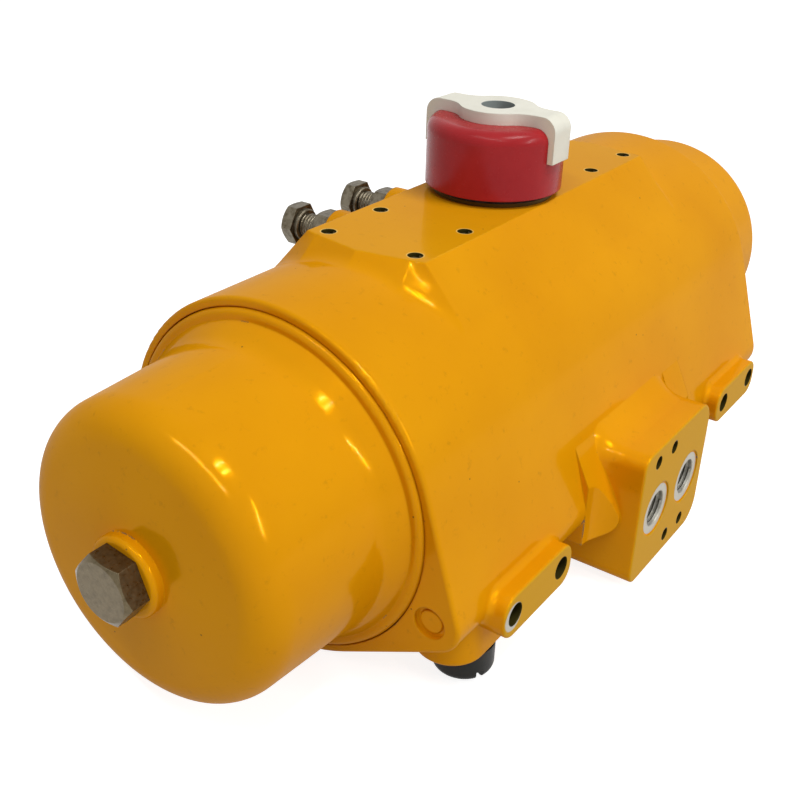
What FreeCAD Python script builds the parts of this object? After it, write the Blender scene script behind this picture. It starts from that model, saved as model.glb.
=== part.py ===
import FreeCAD, Part
import math
import os

# Spring-return rack-and-pinion actuator for a quarter-turn valve.
# Millimetres. +Z is up and the pinion turns about Z. X is the long axis, with the front cap at -X.
# The port block looks to -Y and the two travel stops stand out at +Y.
# The origin is the pinion axis in the plane of the valve mounting face.

Vector = FreeCAD.Vector

# Bore, walls and lengths of the body
CYLINDER_BORE = 92.0
BODY_WALL = 7.2
KEEL_HEIGHT = 2.1
PAD_RISE = 3.5
BODY_LENGTH = 217.8
CAP_SEAT_STEP = 4.7
CAP_SEAT_DEPTH = 29.4

# Ears that run along both lower sides
EAR_INSET = 0.2
EAR_DROP = 22.3
EAR_RADIUS = 9.0
END_EDGE_ROUND = 1.2

# Boss round the feed slot of each key wire
KEY_BOSS_DEPTH = 20.5
KEY_BOSS_HALF_LENGTH = 15.5
KEY_BOSS_RADIUS = 10.5
KEY_BOSS_FLAT = 0.1
KEY_BOSS_INSET = 1.4
KEY_BOSS_EDGE_ROUND = 1.5

# Accessory pad on top
PAD_HALF_LENGTH = 68.0
PAD_HALF_WIDTH = 20.3
PAD_POINT = 4.0
PAD_CORNER_WIDTH = 16.3
PAD_CORNER_SETBACK = 0.8
PAD_SKIRT_DEPTH = 24.0
PAD_FLANK_ANGLE = 48.5
PAD_CORNER_SPREAD = 4.3
PAD_EDGE_ROUND = 0.6
PAD_HOLE_PITCH_LONG = 130.0
PAD_HOLE_PITCH_SHORT = 80.0
PAD_HOLE_PITCH_ACROSS = 30.0
M5_CORE = 2.1
M5_DEPTH = 9.0

# Port block
PORT_BLOCK_PROUD = 12.4
PORT_BLOCK_HALF_LENGTH = 26.0
PORT_BLOCK_RISE = 24.0
PORT_BLOCK_DROP = 22.5
PORT_BLOCK_FRONT_ROUND = 4.5
PORT_BLOCK_REAR_ROUND = 8.5
PORT_FLARE = 14.0
PORT_FLARE_INSET = 0.8
PORT_FLARE_MARGIN = 0.2
PORT_FLARE_DROP = 1.0
PORT_FLARE_BASE = 8.0
PORT_PITCH = 24.0
PORT_DROP = 7.0
PORT_CORE = 6.0
PORT_THREAD_DEPTH = 14.0
PORT_SEAT_RADIUS = 9.2
PORT_SEAT_DEPTH = 0.4
PORT_PILOT = 5.0
PORT_PILOT_REACH = 13.8
PORT_SCREW_PITCH = 12.0
PORT_SCREWS_UPPER_X = -10.0
PORT_SCREWS_UPPER_RISE = 18.9
PORT_SCREWS_LOWER_X = 6.0
PORT_SCREWS_LOWER_DROP = 16.3
SPRING_CHANNEL_RADIUS = 1.6
SPRING_CHANNEL_OUTWARD = 0.9
SPRING_DRILLING_X = 70.0
SPRING_CHANNEL_PLUG = 3.5
SPRING_CHANNEL_PLUG_LENGTH = 5.0
SPRING_CHANNEL_PLUG_SINK = 0.9
SPRING_CHANNEL_PLUG_ROUND = 0.4
SPRING_CHANNEL_MOUTH = 4.7
SPRING_CHANNEL_MOUTH_DEPTH = 1.4

# Swelling of the ear at each side of the port block
SWELL_SCOOP = 12.0
SWELL_DROP = 4.8
SWELL_TOE = 10.2
SWELL_RISE = 27.5
SWELL_SHOULDER = 5.8
SWELL_EDGE_ROUND = 6.0

# Edges of the cast blocks on the body, and the fillets where they grow out of it
CAST_EDGE_ROUND = 0.7
PAD_ROOT_ROUND = 6.0
STOP_BOSS_ROOT_ROUND = 2.0

# Side lugs
LUG_PROUD = 5.3
LUG_HOLE_INNER = 62.9
LUG_HOLE_OUTER = 88.65
LUG_HOLE_DROP = 3.0
LUG_END_INNER = 6.5
LUG_END_OUTER = 5.6
LUG_RISE = 6.4
LUG_DROP = 7.2
LUG_ROUND = 5.5
LUG_ROOT = 4.0
LUG_ROOT_ROUND = 2.0
M8_CORE = 3.4
LUG_HOLE_DEPTH = 10.5

# Valve mounting face
FLANGE_HALF_WIDTH = 40.0
FLANGE_CORNER = 16.0
FLANGE_THICKNESS = 8.0
FLANGE_BOLT_CIRCLE = 70.0
FLANGE_BOLT_DEPTH = 11.0
SPIGOT_RECESS_RADIUS = 27.6
SPIGOT_RECESS_DEPTH = 3.0

# Gear: two racks on one pinion
MODULE = 2.0
PINION_TEETH = 16
PRESSURE_ANGLE = 20.0
RACK_ADDENDUM = 1.8
PINION_ADDENDUM = 2.0
DEDENDUM = 2.5
BACKLASH = 0.14
RACK_HALF_HEIGHT = 12.0
GEAR_FACE_OVERLAP = 2.3
RACK_BACK = 34.0
RACK_TEETH_BEHIND = 2
RACK_TEETH_AHEAD = 5
RACK_TIP_MARGIN = 3.7

# Pistons
PISTON_INNER_FACE = 35.0
PISTON_LENGTH = 17.0
PISTON_CROWN = 8.0
PISTON_CLEARANCE = 0.2
PISTON_SKIRT_WALL = 7.8
PISTON_EDGE = 0.8
PISTON_SEAL_SECTION = 3.4
PISTON_SEAL_BACK = 4.0
BAND_WIDTH = 5.0
BAND_THICKNESS = 2.0
BAND_FRONT = 2.5
BAND_SIDE_CLEARANCE = 0.1
RUNNING_CLEARANCE = 0.05
GUIDE_LENGTH = 14.0
GUIDE_HALF_HEIGHT = 9.0
GUIDE_SETBACK = 4.0
GUIDE_TENON = 3.0
GUIDE_TENON_DEPTH = 3.0
GUIDE_TENON_INSET = 2.0
GUSSET_LENGTH = 12.0
GUSSET_HEIGHT = 8.0
GUSSET_THICKNESS = 8.0
WEB_LENGTH = 6.0
WEB_THICKNESS = 6.0
BAND_GAP = 1.5

# Spring cartridges
SPRING_EDGE_GAP = 2.7
SPRING_WIRE = 5.6
SPRING_TURNS = 6.5
INNER_SPRING_GAP = 5.5
INNER_SPRING_WIRE = 4.0
INNER_SPRING_TURNS = 8.5
PLATE_THICKNESS = 4.0
PLATE_CLEARANCE = 1.0
PLATE_RIB_THICKNESS = 3.0
PLATE_RIB_HEIGHT = 3.0
SLEEVE_RADIUS = 12.0
SLEEVE_BORE = 8.8
SLEEVE_LENGTH = 48.0
SLEEVE_LIP = 3.0
CARTRIDGE_NUT_RADIUS = 8.5
CARTRIDGE_NUT_LENGTH = 6.5
SEAT_CLEARANCE = 0.3

# End caps
CAP_FACE = 157.0
CAP_DOME_RISE = 2.6
CAP_TUBE_STEP = 7.1
CAP_TUBE_TAPER = 2.0
CAP_TUBE_START = 117.0
CAP_WALL = 3.6
CAP_FACE_WALL = 5.0
CAP_CORNER_ROUND = 10.0
CAP_INNER_ROUND = 3.0
CAP_FLANGE_PROUD = 1.4
CAP_FLANGE_ROUND = 2.0
CAP_FLANGE_RIM = 3.3
CAP_FLANGE_DEPTH = 8.0
CAP_FIT = 0.25
CAP_SKIRT_WALL = 4.2
CAP_BOSS_RADIUS = 11.2
CAP_BOSS_FACE = 162.8
CAP_BOSS_ROUND = 1.6
CAP_SEAL_SECTION = 2.6
CAP_SEAL_X = 97.0
KEY_X = 86.0
KEY_WIRE = 2.2
KEY_MOUTH = 25.0
KEY_SLOT_DEPTH = 1.2
KEY_SIDE_CLEARANCE = 0.1
KEY_FEED_CLEARANCE = 0.2

# Key plugs
KEY_PLUG_HEAD_RADIUS = 9.0
KEY_PLUG_HEAD = 9.4
KEY_PLUG_ROUND = 2.2
KEY_PLUG_SHANK = 5.0
KEY_PLUG_LENGTH = 12.0
KEY_PLUG_END_SPACE = 1.0
KEY_PLUG_SLOT_WIDTH = 2.4
KEY_PLUG_SLOT_DEPTH = 3.0
KEY_PLUG_SLOT_TURN = 65.0

# Cap bolts
CAP_BOLT_RADIUS = 5.0
CAP_BOLT_HOLE = 5.3
CAP_BOLT_ACROSS_FLATS = 17.0
CAP_BOLT_HEAD = 6.4
CAP_BOLT_TURN = 22.0
CAP_BOLT_OVERRUN = 1.5
BOLT_SEAL_SECTION = 2.0

# Pinion
PINION_NECK = 13.1
PINION_LOWER_JOURNAL = 18.4
PINION_UPPER_JOURNAL = 12.5
PINION_CAM_SEAT = 14.0
PINION_CAM_SHOULDER = 15.5
PINION_CAM_SHOULDER_DROP = 3.5
PINION_FOOT = 0.6
PINION_FOOT_CHAMFER = 0.6
PINION_TIP_CHAMFER = 0.8
PINION_SHOULDER_CLEARANCE = 0.1
PINION_SHOULDER_RIM = 3.0
PINION_SHOULDER_CONE = 5.0
PINION_CAM_CONE = 2.0
JOURNAL_CLEARANCE = 0.1
SOCKET_SQUARE = 14.1
SOCKET_DEPTH = 18.0
LOWER_BUSH_WALL = 2.1
LOWER_BUSH_LENGTH = 6.0
LOWER_SEAL_SECTION = 2.6
UPPER_BUSH_WALL = 2.5
UPPER_BUSH_DROP = 4.3
UPPER_BUSH_LENGTH = 8.0
UPPER_BUSH_COLLAR = 2.0
UPPER_BUSH_COLLAR_RADIUS = 18.9
UPPER_BUSH_END_SPACE = 0.2
UPPER_SEAL_DEPTH = 4.0
UPPER_SEAL_SECTION = 2.2
SEAL_SQUEEZE_CLEARANCE = 0.02
SEAL_SIDE_CLEARANCE = 0.2
TOP_WASHER_RADIUS = 19.2
TOP_WASHER_THICKNESS = 1.2
CIRCLIP_RADIUS = 17.2
CIRCLIP_THICKNESS = 1.2
CIRCLIP_GROOVE = 11.5
CIRCLIP_MOUTH = 50.0
SHOULDER_RISE = 4.0
SPIGOT_RADIUS = 8.0
SPIGOT_FLATS = 12.0
SPIGOT_RISE = 15.0

# Travel stops
STOP_SPACING = 33.0
STOP_BOSS_PROUD = 4.17
STOP_BOSS_RADIUS = 8.2
STOP_BOLT_RADIUS = 4.0
STOP_HEAD_STANDOFF = 14.7
STOP_TIP_CHAMFER = 0.8
STOP_HEAD_THICKNESS = 4.8
STOP_ACROSS_FLATS = 13.0
STOP_NUT_THICKNESS = 6.5
STOP_THREAD_CLEARANCE = 0.05
STOP_CONTACT_GAP = 0.3
CAM_RADIUS = 22.0
CAM_HUB_RADIUS = 17.0
CAM_THICKNESS = 9.0
CAM_ROOF_GAP = 2.5
CAM_FACE_OFFSET = 12.0
CAM_FLATS = 25.2

# Indicator
CUP_RADIUS = 21.7
CUP_GAP = 2.6
CUP_TOP_RISE = 23.2
CUP_WALL = 2.2
CUP_ROUND = 4.2
CUP_HUB_RADIUS = 11.5
CUP_FIT = 0.05
POINTER_THICKNESS = 3.6
POINTER_ARM_HALF_WIDTH = 5.0
POINTER_MIDDLE_RADIUS = 12.0
POINTER_NECK_ROUND = 9.0
POINTER_ARM_PROUD = 1.4
POINTER_ARM_DROP = 13.8
POINTER_BEND = 4.6
POINTER_HOLE = 5.2
SCREW_RADIUS = 3.0
SCREW_HEAD_RADIUS = 4.9
SCREW_HEAD = 3.2
SCREW_LENGTH = 14.0
SCREW_RECESS = 4.4
SCREW_HEX = 2.9
SCREW_HEX_DEPTH = 1.8
SCREW_HEAD_CHAMFER = 0.4
SCREW_END_SPACE = 3.0

# Fits of threads and presses, and the corners turned off a hexagon
THREAD_CLEARANCE = 0.02
PLUG_CLEARANCE = 0.05
HEXAGON_CHAMFER = 30.0
HEXAGON_CHAMFER_EXTRA = 0.3
HEXAGON_FACE_SHARE = 0.95

# Values that follow from the sizes above
HALF_LENGTH = BODY_LENGTH / 2
BORE_RADIUS = CYLINDER_BORE / 2
BODY_RADIUS = BORE_RADIUS + BODY_WALL
AXIS_HEIGHT = KEEL_HEIGHT + BODY_RADIUS
PAD_HEIGHT = AXIS_HEIGHT + BODY_RADIUS + PAD_RISE
SEAT_RADIUS = BORE_RADIUS + CAP_SEAT_STEP
SEAT_FLOOR = HALF_LENGTH - CAP_SEAT_DEPTH
EAR_SIDE = BODY_RADIUS - EAR_INSET
EAR_HEIGHT = AXIS_HEIGHT - EAR_DROP
EAR_FACE = EAR_SIDE + EAR_RADIUS
PORT_FACE = EAR_FACE + PORT_BLOCK_PROUD
PORT_HEIGHT = EAR_HEIGHT - PORT_DROP
PORT_BLOCK_TOP = PORT_HEIGHT + PORT_BLOCK_RISE
PORT_BLOCK_BOTTOM = PORT_HEIGHT - PORT_BLOCK_DROP
LUG_FACE = EAR_FACE + LUG_PROUD
LUG_HOLE_HEIGHT = EAR_HEIGHT - LUG_HOLE_DROP
CHANNEL_PLUG_END = HALF_LENGTH - SPRING_CHANNEL_PLUG_SINK
PITCH_RADIUS = MODULE * PINION_TEETH / 2
TOOTH_PITCH = math.pi * MODULE
RACK_ROOT = PITCH_RADIUS + DEDENDUM
RACK_TIP = PITCH_RADIUS - RACK_ADDENDUM
RACK_END = (RACK_TEETH_AHEAD - 0.5) * TOOTH_PITCH + RACK_TIP_MARGIN
PISTON_RADIUS = BORE_RADIUS - PISTON_CLEARANCE
PISTON_OUTER_FACE = PISTON_INNER_FACE + PISTON_LENGTH
POCKET_FLOOR = PISTON_INNER_FACE + PISTON_CROWN
PISTON_POCKET_RADIUS = PISTON_RADIUS - PISTON_SKIRT_WALL
PLATE_RADIUS = PISTON_POCKET_RADIUS - PLATE_CLEARANCE
SPRING_MEAN_RADIUS = PLATE_RADIUS - SPRING_EDGE_GAP - SPRING_WIRE / 2
INNER_SPRING_MEAN_RADIUS = SLEEVE_RADIUS + INNER_SPRING_GAP + INNER_SPRING_WIRE / 2
PLATE_FACE = POCKET_FLOOR + PLATE_THICKNESS
SLEEVE_END = PLATE_FACE + SLEEVE_LENGTH
CAP_INNER_FACE = CAP_FACE - CAP_FACE_WALL
CAP_FLANGE_FACE = HALF_LENGTH + CAP_FLANGE_PROUD
CAP_SKIRT_RADIUS = SEAT_RADIUS - CAP_FIT
CAP_FLANGE_LAND = SEAT_RADIUS - CAP_FLANGE_RIM
CAP_TUBE_ROOT = SEAT_RADIUS - CAP_TUBE_STEP
CAP_TUBE_END = CAP_TUBE_ROOT - CAP_TUBE_TAPER
NUT_OUTER_FACE = SLEEVE_END - SLEEVE_LIP - SEAT_CLEARANCE
NUT_INNER_FACE = NUT_OUTER_FACE - CARTRIDGE_NUT_LENGTH
KEY_RADIUS = (SEAT_RADIUS + CAP_SKIRT_RADIUS) / 2
KEY_BOSS_LOW = EAR_HEIGHT - KEY_BOSS_DEPTH
UPPER_BUSH_RADIUS = PINION_UPPER_JOURNAL + UPPER_BUSH_WALL
UPPER_BUSH_LOW = AXIS_HEIGHT + BORE_RADIUS - UPPER_BUSH_DROP
UPPER_BUSH_HIGH = UPPER_BUSH_LOW + UPPER_BUSH_LENGTH
UPPER_SEAL_HEIGHT = PAD_HEIGHT - UPPER_SEAL_DEPTH
LOWER_BUSH_RADIUS = PINION_LOWER_JOURNAL + LOWER_BUSH_WALL
LOWER_SEAL_LOW = SPIGOT_RECESS_DEPTH + SEAL_SIDE_CLEARANCE
LOWER_SEAL_HIGH = LOWER_SEAL_LOW + LOWER_SEAL_SECTION + 2 * SEAL_SIDE_CLEARANCE
LOWER_BUSH_LOW = LOWER_SEAL_HIGH + SEAL_SIDE_CLEARANCE
LOWER_BUSH_HIGH = LOWER_BUSH_LOW + LOWER_BUSH_LENGTH
STOP_TIP = CAM_FACE_OFFSET + STOP_CONTACT_GAP
CUP_BOTTOM = PAD_HEIGHT + CUP_GAP
CUP_TOP = PAD_HEIGHT + CUP_TOP_RISE
POINTER_TOP = CUP_TOP + POINTER_THICKNESS
SHOULDER_HEIGHT = PAD_HEIGHT + SHOULDER_RISE
SPIGOT_TOP = PAD_HEIGHT + SPIGOT_RISE
SCREW_HEAD_TOP = POINTER_TOP - SCREW_RECESS
SCREW_SEAT = SCREW_HEAD_TOP - SCREW_HEAD
CAM_HIGH = UPPER_BUSH_LOW - CAM_ROOF_GAP
CAM_LOW = CAM_HIGH - CAM_THICKNESS
STOP_HEIGHT = (CAM_LOW + CAM_HIGH) / 2
STOP_BOSS_UNDERSIDE = STOP_HEIGHT - STOP_BOSS_RADIUS - AXIS_HEIGHT
STOP_BOSS_FACE = math.sqrt(BODY_RADIUS ** 2 - STOP_BOSS_UNDERSIDE ** 2) + STOP_BOSS_PROUD
STOP_HEAD_SIDE = STOP_BOSS_FACE + STOP_HEAD_STANDOFF
CIRCLIP_LOW = PAD_HEIGHT + TOP_WASHER_THICKNESS + RUNNING_CLEARANCE
CIRCLIP_HIGH = CIRCLIP_LOW + CIRCLIP_THICKNESS
CUT = 1.0


def box(x_low, x_high, y_low, y_high, z_low, z_high):
    corner = Vector(x_low, y_low, z_low)
    return Part.makeBox(x_high - x_low, y_high - y_low, z_high - z_low, corner)


def cylinder_x(radius, x_low, x_high, y=0.0, z=AXIS_HEIGHT):
    return Part.makeCylinder(radius, x_high - x_low, Vector(x_low, y, z), Vector(1, 0, 0))


def cylinder_y(radius, y_low, y_high, x, z):
    return Part.makeCylinder(radius, y_high - y_low, Vector(x, y_low, z), Vector(0, 1, 0))


def cylinder_z(radius, z_low, z_high, x=0.0, y=0.0):
    return Part.makeCylinder(radius, z_high - z_low, Vector(x, y, z_low), Vector(0, 0, 1))


def tube_z(outer, inner, z_low, z_high):
    return cylinder_z(outer, z_low, z_high).cut(cylinder_z(inner, z_low - CUT, z_high + CUT))


def tube_x(outer, inner, x_low, x_high):
    return cylinder_x(outer, x_low, x_high).cut(cylinder_x(inner, x_low - CUT, x_high + CUT))


def polygon_face(points):
    return Part.Face(Part.makePolygon(points + [points[0]]))


def revolve_about_cylinder(profile):
    """Solid of revolution about the cylinder axis, from (x, radius) points."""
    face = polygon_face([Vector(x, 0, AXIS_HEIGHT + radius) for x, radius in profile])
    return face.revolve(Vector(0, 0, AXIS_HEIGHT), Vector(1, 0, 0), 360)


def revolve_about_pinion(profile):
    """Solid of revolution about the pinion axis, from (radius, z) points."""
    face = polygon_face([Vector(radius, 0, z) for radius, z in profile])
    return face.revolve(Vector(0, 0, 0), Vector(0, 0, 1), 360)


def o_ring_x(inner, outer, x):
    section = (outer - inner) / 2 - SEAL_SQUEEZE_CLEARANCE
    return Part.makeTorus((outer + inner) / 2, section, Vector(x, 0, AXIS_HEIGHT), Vector(1, 0, 0))


def o_ring_z(inner, outer, z):
    section = (outer - inner) / 2 - SEAL_SQUEEZE_CLEARANCE
    return Part.makeTorus((outer + inner) / 2, section, Vector(0, 0, z), Vector(0, 0, 1))


def hexagon(across_flats, length, chamfered_end):
    """Hexagon bar along +Z from the origin, with corners turned off at the far end if asked."""
    corner = across_flats / math.sqrt(3)
    points = []
    for index in range(6):
        angle = math.radians(60 * index)
        points.append(Vector(corner * math.cos(angle), corner * math.sin(angle), 0))
    bar = polygon_face(points).extrude(Vector(0, 0, length))
    if not chamfered_end:
        return bar
    slope = math.tan(math.radians(HEXAGON_CHAMFER))
    drop = (corner - across_flats / 2) * slope + HEXAGON_CHAMFER_EXTRA
    flat = across_flats / 2 * HEXAGON_FACE_SHARE
    turned = Part.makeCone(corner + (corner - flat), flat, 2 * drop, Vector(0, 0, length - 2 * drop))
    lower = Part.makeCylinder(corner + CUT, length - 2 * drop)
    return bar.common(lower.fuse(turned))


def rounded_rectangle(half_length, half_width, corners, z):
    """Closed wire of a rectangle in the plane z, with a radius for each corner from +X+Y round by -X."""
    edges = []
    signs = [(1, 1), (-1, 1), (-1, -1), (1, -1)]
    ends = []
    for index, (sign_x, sign_y) in enumerate(signs):
        corner = corners[index]
        centre = Vector(sign_x * (half_length - corner), sign_y * (half_width - corner), z)
        start = math.radians(90 * index)
        points = []
        for turn in (0, 45, 90):
            angle = start + math.radians(turn)
            points.append(centre + Vector(corner * math.cos(angle), corner * math.sin(angle), 0))
        ends.append((points[0], points[2]))
        edges.append(Part.Arc(*points).toShape())
    for index in range(4):
        following = ends[(index + 1) % 4]
        edges.append(Part.makeLine(ends[index][1], following[0]))
    return Part.Wire(Part.__sortEdges__(edges))


def plate_along_y(x_low, x_high, z_low, z_high, corners, y_low, y_high):
    """Block whose four edges along Y are round."""
    length = (x_high - x_low) / 2
    height = (z_high - z_low) / 2
    wire = rounded_rectangle(length, height, corners, 0)
    block = Part.Face(wire).extrude(Vector(0, 0, y_high - y_low))
    block.rotate(Vector(0, 0, 0), Vector(1, 0, 0), 90)
    block.translate(Vector((x_low + x_high) / 2, y_high, (z_low + z_high) / 2))
    outer_face = max(y_low, y_high, key=abs)
    rims = [edge for edge in block.Edges if abs(edge.CenterOfMass.y - outer_face) < 0.01]
    return block.makeFillet(CAST_EDGE_ROUND, rims)


def fuse_all(first, others):
    return first.multiFuse(others).removeSplitter()


def fuse_with_fillet(first, others, radius):
    """Fuses blocks to a solid and rounds the creases where their surfaces run into it."""
    solid = fuse_all(first, others)
    creases = []
    for edge in solid.Edges:
        middle = Part.Vertex(edge.valueAt((edge.FirstParameter + edge.LastParameter) / 2))
        if middle.distToShape(first.Shells[0])[0] > 0.01:
            continue
        if any(middle.distToShape(other.Shells[0])[0] < 0.01 for other in others):
            creases.append(edge)
    return solid.makeFillet(radius, creases)


def half_turn(shape):
    """The same piece at the other end: turned half round about the pinion axis."""
    turned = shape.copy()
    turned.rotate(Vector(0, 0, 0), Vector(0, 0, 1), 180)
    return turned


def body_outline():
    """Round body with an ear at each lower side, as a face in the plane of the front end."""
    reach = math.hypot(EAR_SIDE, EAR_DROP)
    towards_ear = math.atan2(-EAR_DROP, EAR_SIDE)
    spread = math.acos((BODY_RADIUS - EAR_RADIUS) / reach)
    upper = towards_ear + spread
    lower = towards_ear - spread

    def on_circle(side, y, z, radius, angle):
        return Vector(-HALF_LENGTH, side * (y + radius * math.cos(angle)), z + radius * math.sin(angle))

    edges = []
    tops = {}
    bottoms = {}
    for side in (1, -1):
        body_upper = on_circle(side, 0, AXIS_HEIGHT, BODY_RADIUS, upper)
        body_lower = on_circle(side, 0, AXIS_HEIGHT, BODY_RADIUS, lower)
        ear_upper = on_circle(side, EAR_SIDE, EAR_HEIGHT, EAR_RADIUS, upper)
        ear_middle = on_circle(side, EAR_SIDE, EAR_HEIGHT, EAR_RADIUS, towards_ear)
        ear_lower = on_circle(side, EAR_SIDE, EAR_HEIGHT, EAR_RADIUS, lower)
        edges.append(Part.makeLine(body_upper, ear_upper))
        edges.append(Part.Arc(ear_upper, ear_middle, ear_lower).toShape())
        edges.append(Part.makeLine(ear_lower, body_lower))
        tops[side] = body_upper
        bottoms[side] = body_lower
    crown = Vector(-HALF_LENGTH, 0, AXIS_HEIGHT + BODY_RADIUS)
    keel = Vector(-HALF_LENGTH, 0, AXIS_HEIGHT - BODY_RADIUS)
    edges.append(Part.Arc(tops[1], crown, tops[-1]).toShape())
    edges.append(Part.Arc(bottoms[1], keel, bottoms[-1]).toShape())
    return Part.Face(Part.Wire(Part.__sortEdges__(edges)))


def accessory_pad():
    """Flat pad with a pointed sloping prow at each end and flanks that run down to the round body."""
    flank = PAD_HALF_WIDTH + PAD_SKIRT_DEPTH / math.tan(math.radians(PAD_FLANK_ANGLE))
    point = PAD_HALF_LENGTH + PAD_POINT
    corner = PAD_HALF_LENGTH + PAD_CORNER_SETBACK
    top = [(PAD_HALF_LENGTH, PAD_HALF_WIDTH), (corner, PAD_CORNER_WIDTH), (point, 0)]
    low = [
        (PAD_HALF_LENGTH, flank),
        (corner + PAD_SKIRT_DEPTH, PAD_CORNER_WIDTH + PAD_CORNER_SPREAD),
        (point + PAD_SKIRT_DEPTH, 0),
    ]

    def ring(quarter, z):
        right = quarter + [(x, -y) for x, y in reversed(quarter[:-1])]
        left = [(-x, -y) for x, y in right]
        points = [Vector(x, y, z) for x, y in right + left]
        return Part.makePolygon(points + [points[0]])

    pad = Part.makeLoft([ring(top, PAD_HEIGHT), ring(low, PAD_HEIGHT - PAD_SKIRT_DEPTH)], True, True)
    rims = [edge for edge in pad.Edges if abs(edge.CenterOfMass.z - PAD_HEIGHT) < 0.01]
    return pad.makeFillet(PAD_EDGE_ROUND, rims)


def key_bosses():
    """Oblong boss under one ear at each end, where the key wire goes in."""
    radius = KEY_BOSS_RADIUS
    wire = rounded_rectangle(KEY_BOSS_HALF_LENGTH, radius, [radius - KEY_BOSS_FLAT] * 4, KEY_BOSS_LOW)
    boss = Part.Face(wire).extrude(Vector(0, 0, EAR_HEIGHT - KEY_BOSS_LOW))
    rim = [edge for edge in boss.Edges if abs(edge.CenterOfMass.z - KEY_BOSS_LOW) < 0.01]
    boss = boss.makeFillet(KEY_BOSS_EDGE_ROUND, rim)
    boss.translate(Vector(-KEY_X, KEY_BOSS_INSET - KEY_RADIUS, 0))
    return [boss, half_turn(boss)]


def side_lugs():
    lugs = []
    low = LUG_HOLE_HEIGHT - LUG_DROP
    high = LUG_HOLE_HEIGHT + LUG_RISE
    for sign_x in (1, -1):
        for sign_y in (1, -1):
            inner = sign_x * (LUG_HOLE_INNER - LUG_END_INNER)
            outer = sign_x * (LUG_HOLE_OUTER + LUG_END_OUTER)
            ends = sorted((inner, outer))
            sides = sorted((sign_y * (EAR_SIDE - LUG_ROOT), sign_y * LUG_FACE))
            lugs.append(plate_along_y(*ends, low, high, [LUG_ROUND] * 4, *sides))
    return lugs


def port_block():
    """Block for the air ports, flared into the flank above it and at both sides."""
    half = PORT_BLOCK_HALF_LENGTH
    flank = -BODY_RADIUS + PORT_FLARE_INSET
    low = EAR_HEIGHT - EAR_RADIUS + PORT_FLARE_DROP
    rear = PORT_BLOCK_REAR_ROUND
    front = PORT_BLOCK_FRONT_ROUND
    depth = math.sqrt(BODY_RADIUS ** 2 - (AXIS_HEIGHT - PORT_BLOCK_BOTTOM) ** 2)
    block = plate_along_y(-half, half, PORT_BLOCK_BOTTOM, PORT_BLOCK_TOP,
                          [rear, front, front, rear], -PORT_FACE, -depth)
    wide = half + PORT_FLARE + CUT
    high = PORT_BLOCK_TOP + PORT_FLARE + PORT_FLARE_MARGIN
    base = box(-wide, wide, flank, flank + PORT_FLARE_BASE, low, high)
    upper = block.common(box(-wide, wide, -PORT_FACE - CUT, flank + CUT, low, high))
    flared = fuse_all(base, [upper])
    creases = []
    for edge in flared.Edges:
        reach = edge.BoundBox
        in_plane = abs(reach.YMin - flank) < 0.01 and abs(reach.YMax - flank) < 0.01
        beside_block = reach.XMin > -half - 0.01 and reach.XMax < half + 0.01
        if in_plane and beside_block and reach.ZMax < PORT_BLOCK_TOP + 0.01:
            creases.append(edge)
    return fuse_all(flared.makeFillet(PORT_FLARE, creases), [block])


def ear_swells():
    """Swelling of the ear at each side of the port block, scooped out towards the ear."""
    low = PORT_HEIGHT - SWELL_DROP
    high = PORT_HEIGHT + SWELL_RISE
    toe = -EAR_FACE - SWELL_TOE
    swells = []
    for side in (-1, 1):
        inner = side * (PORT_BLOCK_HALF_LENGTH - CUT)
        outer = side * (PORT_BLOCK_HALF_LENGTH + SWELL_SCOOP)
        wedge = polygon_face([
            Vector(inner, -EAR_SIDE + LUG_ROOT, low),
            Vector(inner, toe, low),
            Vector(inner, -EAR_FACE + SWELL_SHOULDER, high),
            Vector(inner, -EAR_SIDE + LUG_ROOT, high),
        ]).extrude(Vector(outer - inner, 0, 0))
        keel = []
        for edge in wedge.Edges:
            centre = edge.CenterOfMass
            if abs(centre.y - toe) < 0.01 and abs(centre.z - low) < 0.01:
                keel.append(edge)
        wedge = wedge.makeFillet(SWELL_EDGE_ROUND, keel)
        scoop = cylinder_z(SWELL_SCOOP, low - CUT, high + CUT, outer, -EAR_FACE - SWELL_SCOOP)
        swells.append(wedge.cut(scoop))
    return swells


def rectangle_of_holes(pitch_x, pitch_y, radius, z_low, z_high):
    holes = []
    for sign_x in (1, -1):
        for sign_y in (1, -1):
            holes.append(cylinder_z(radius, z_low, z_high, sign_x * pitch_x / 2, sign_y * pitch_y / 2))
    return holes


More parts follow.
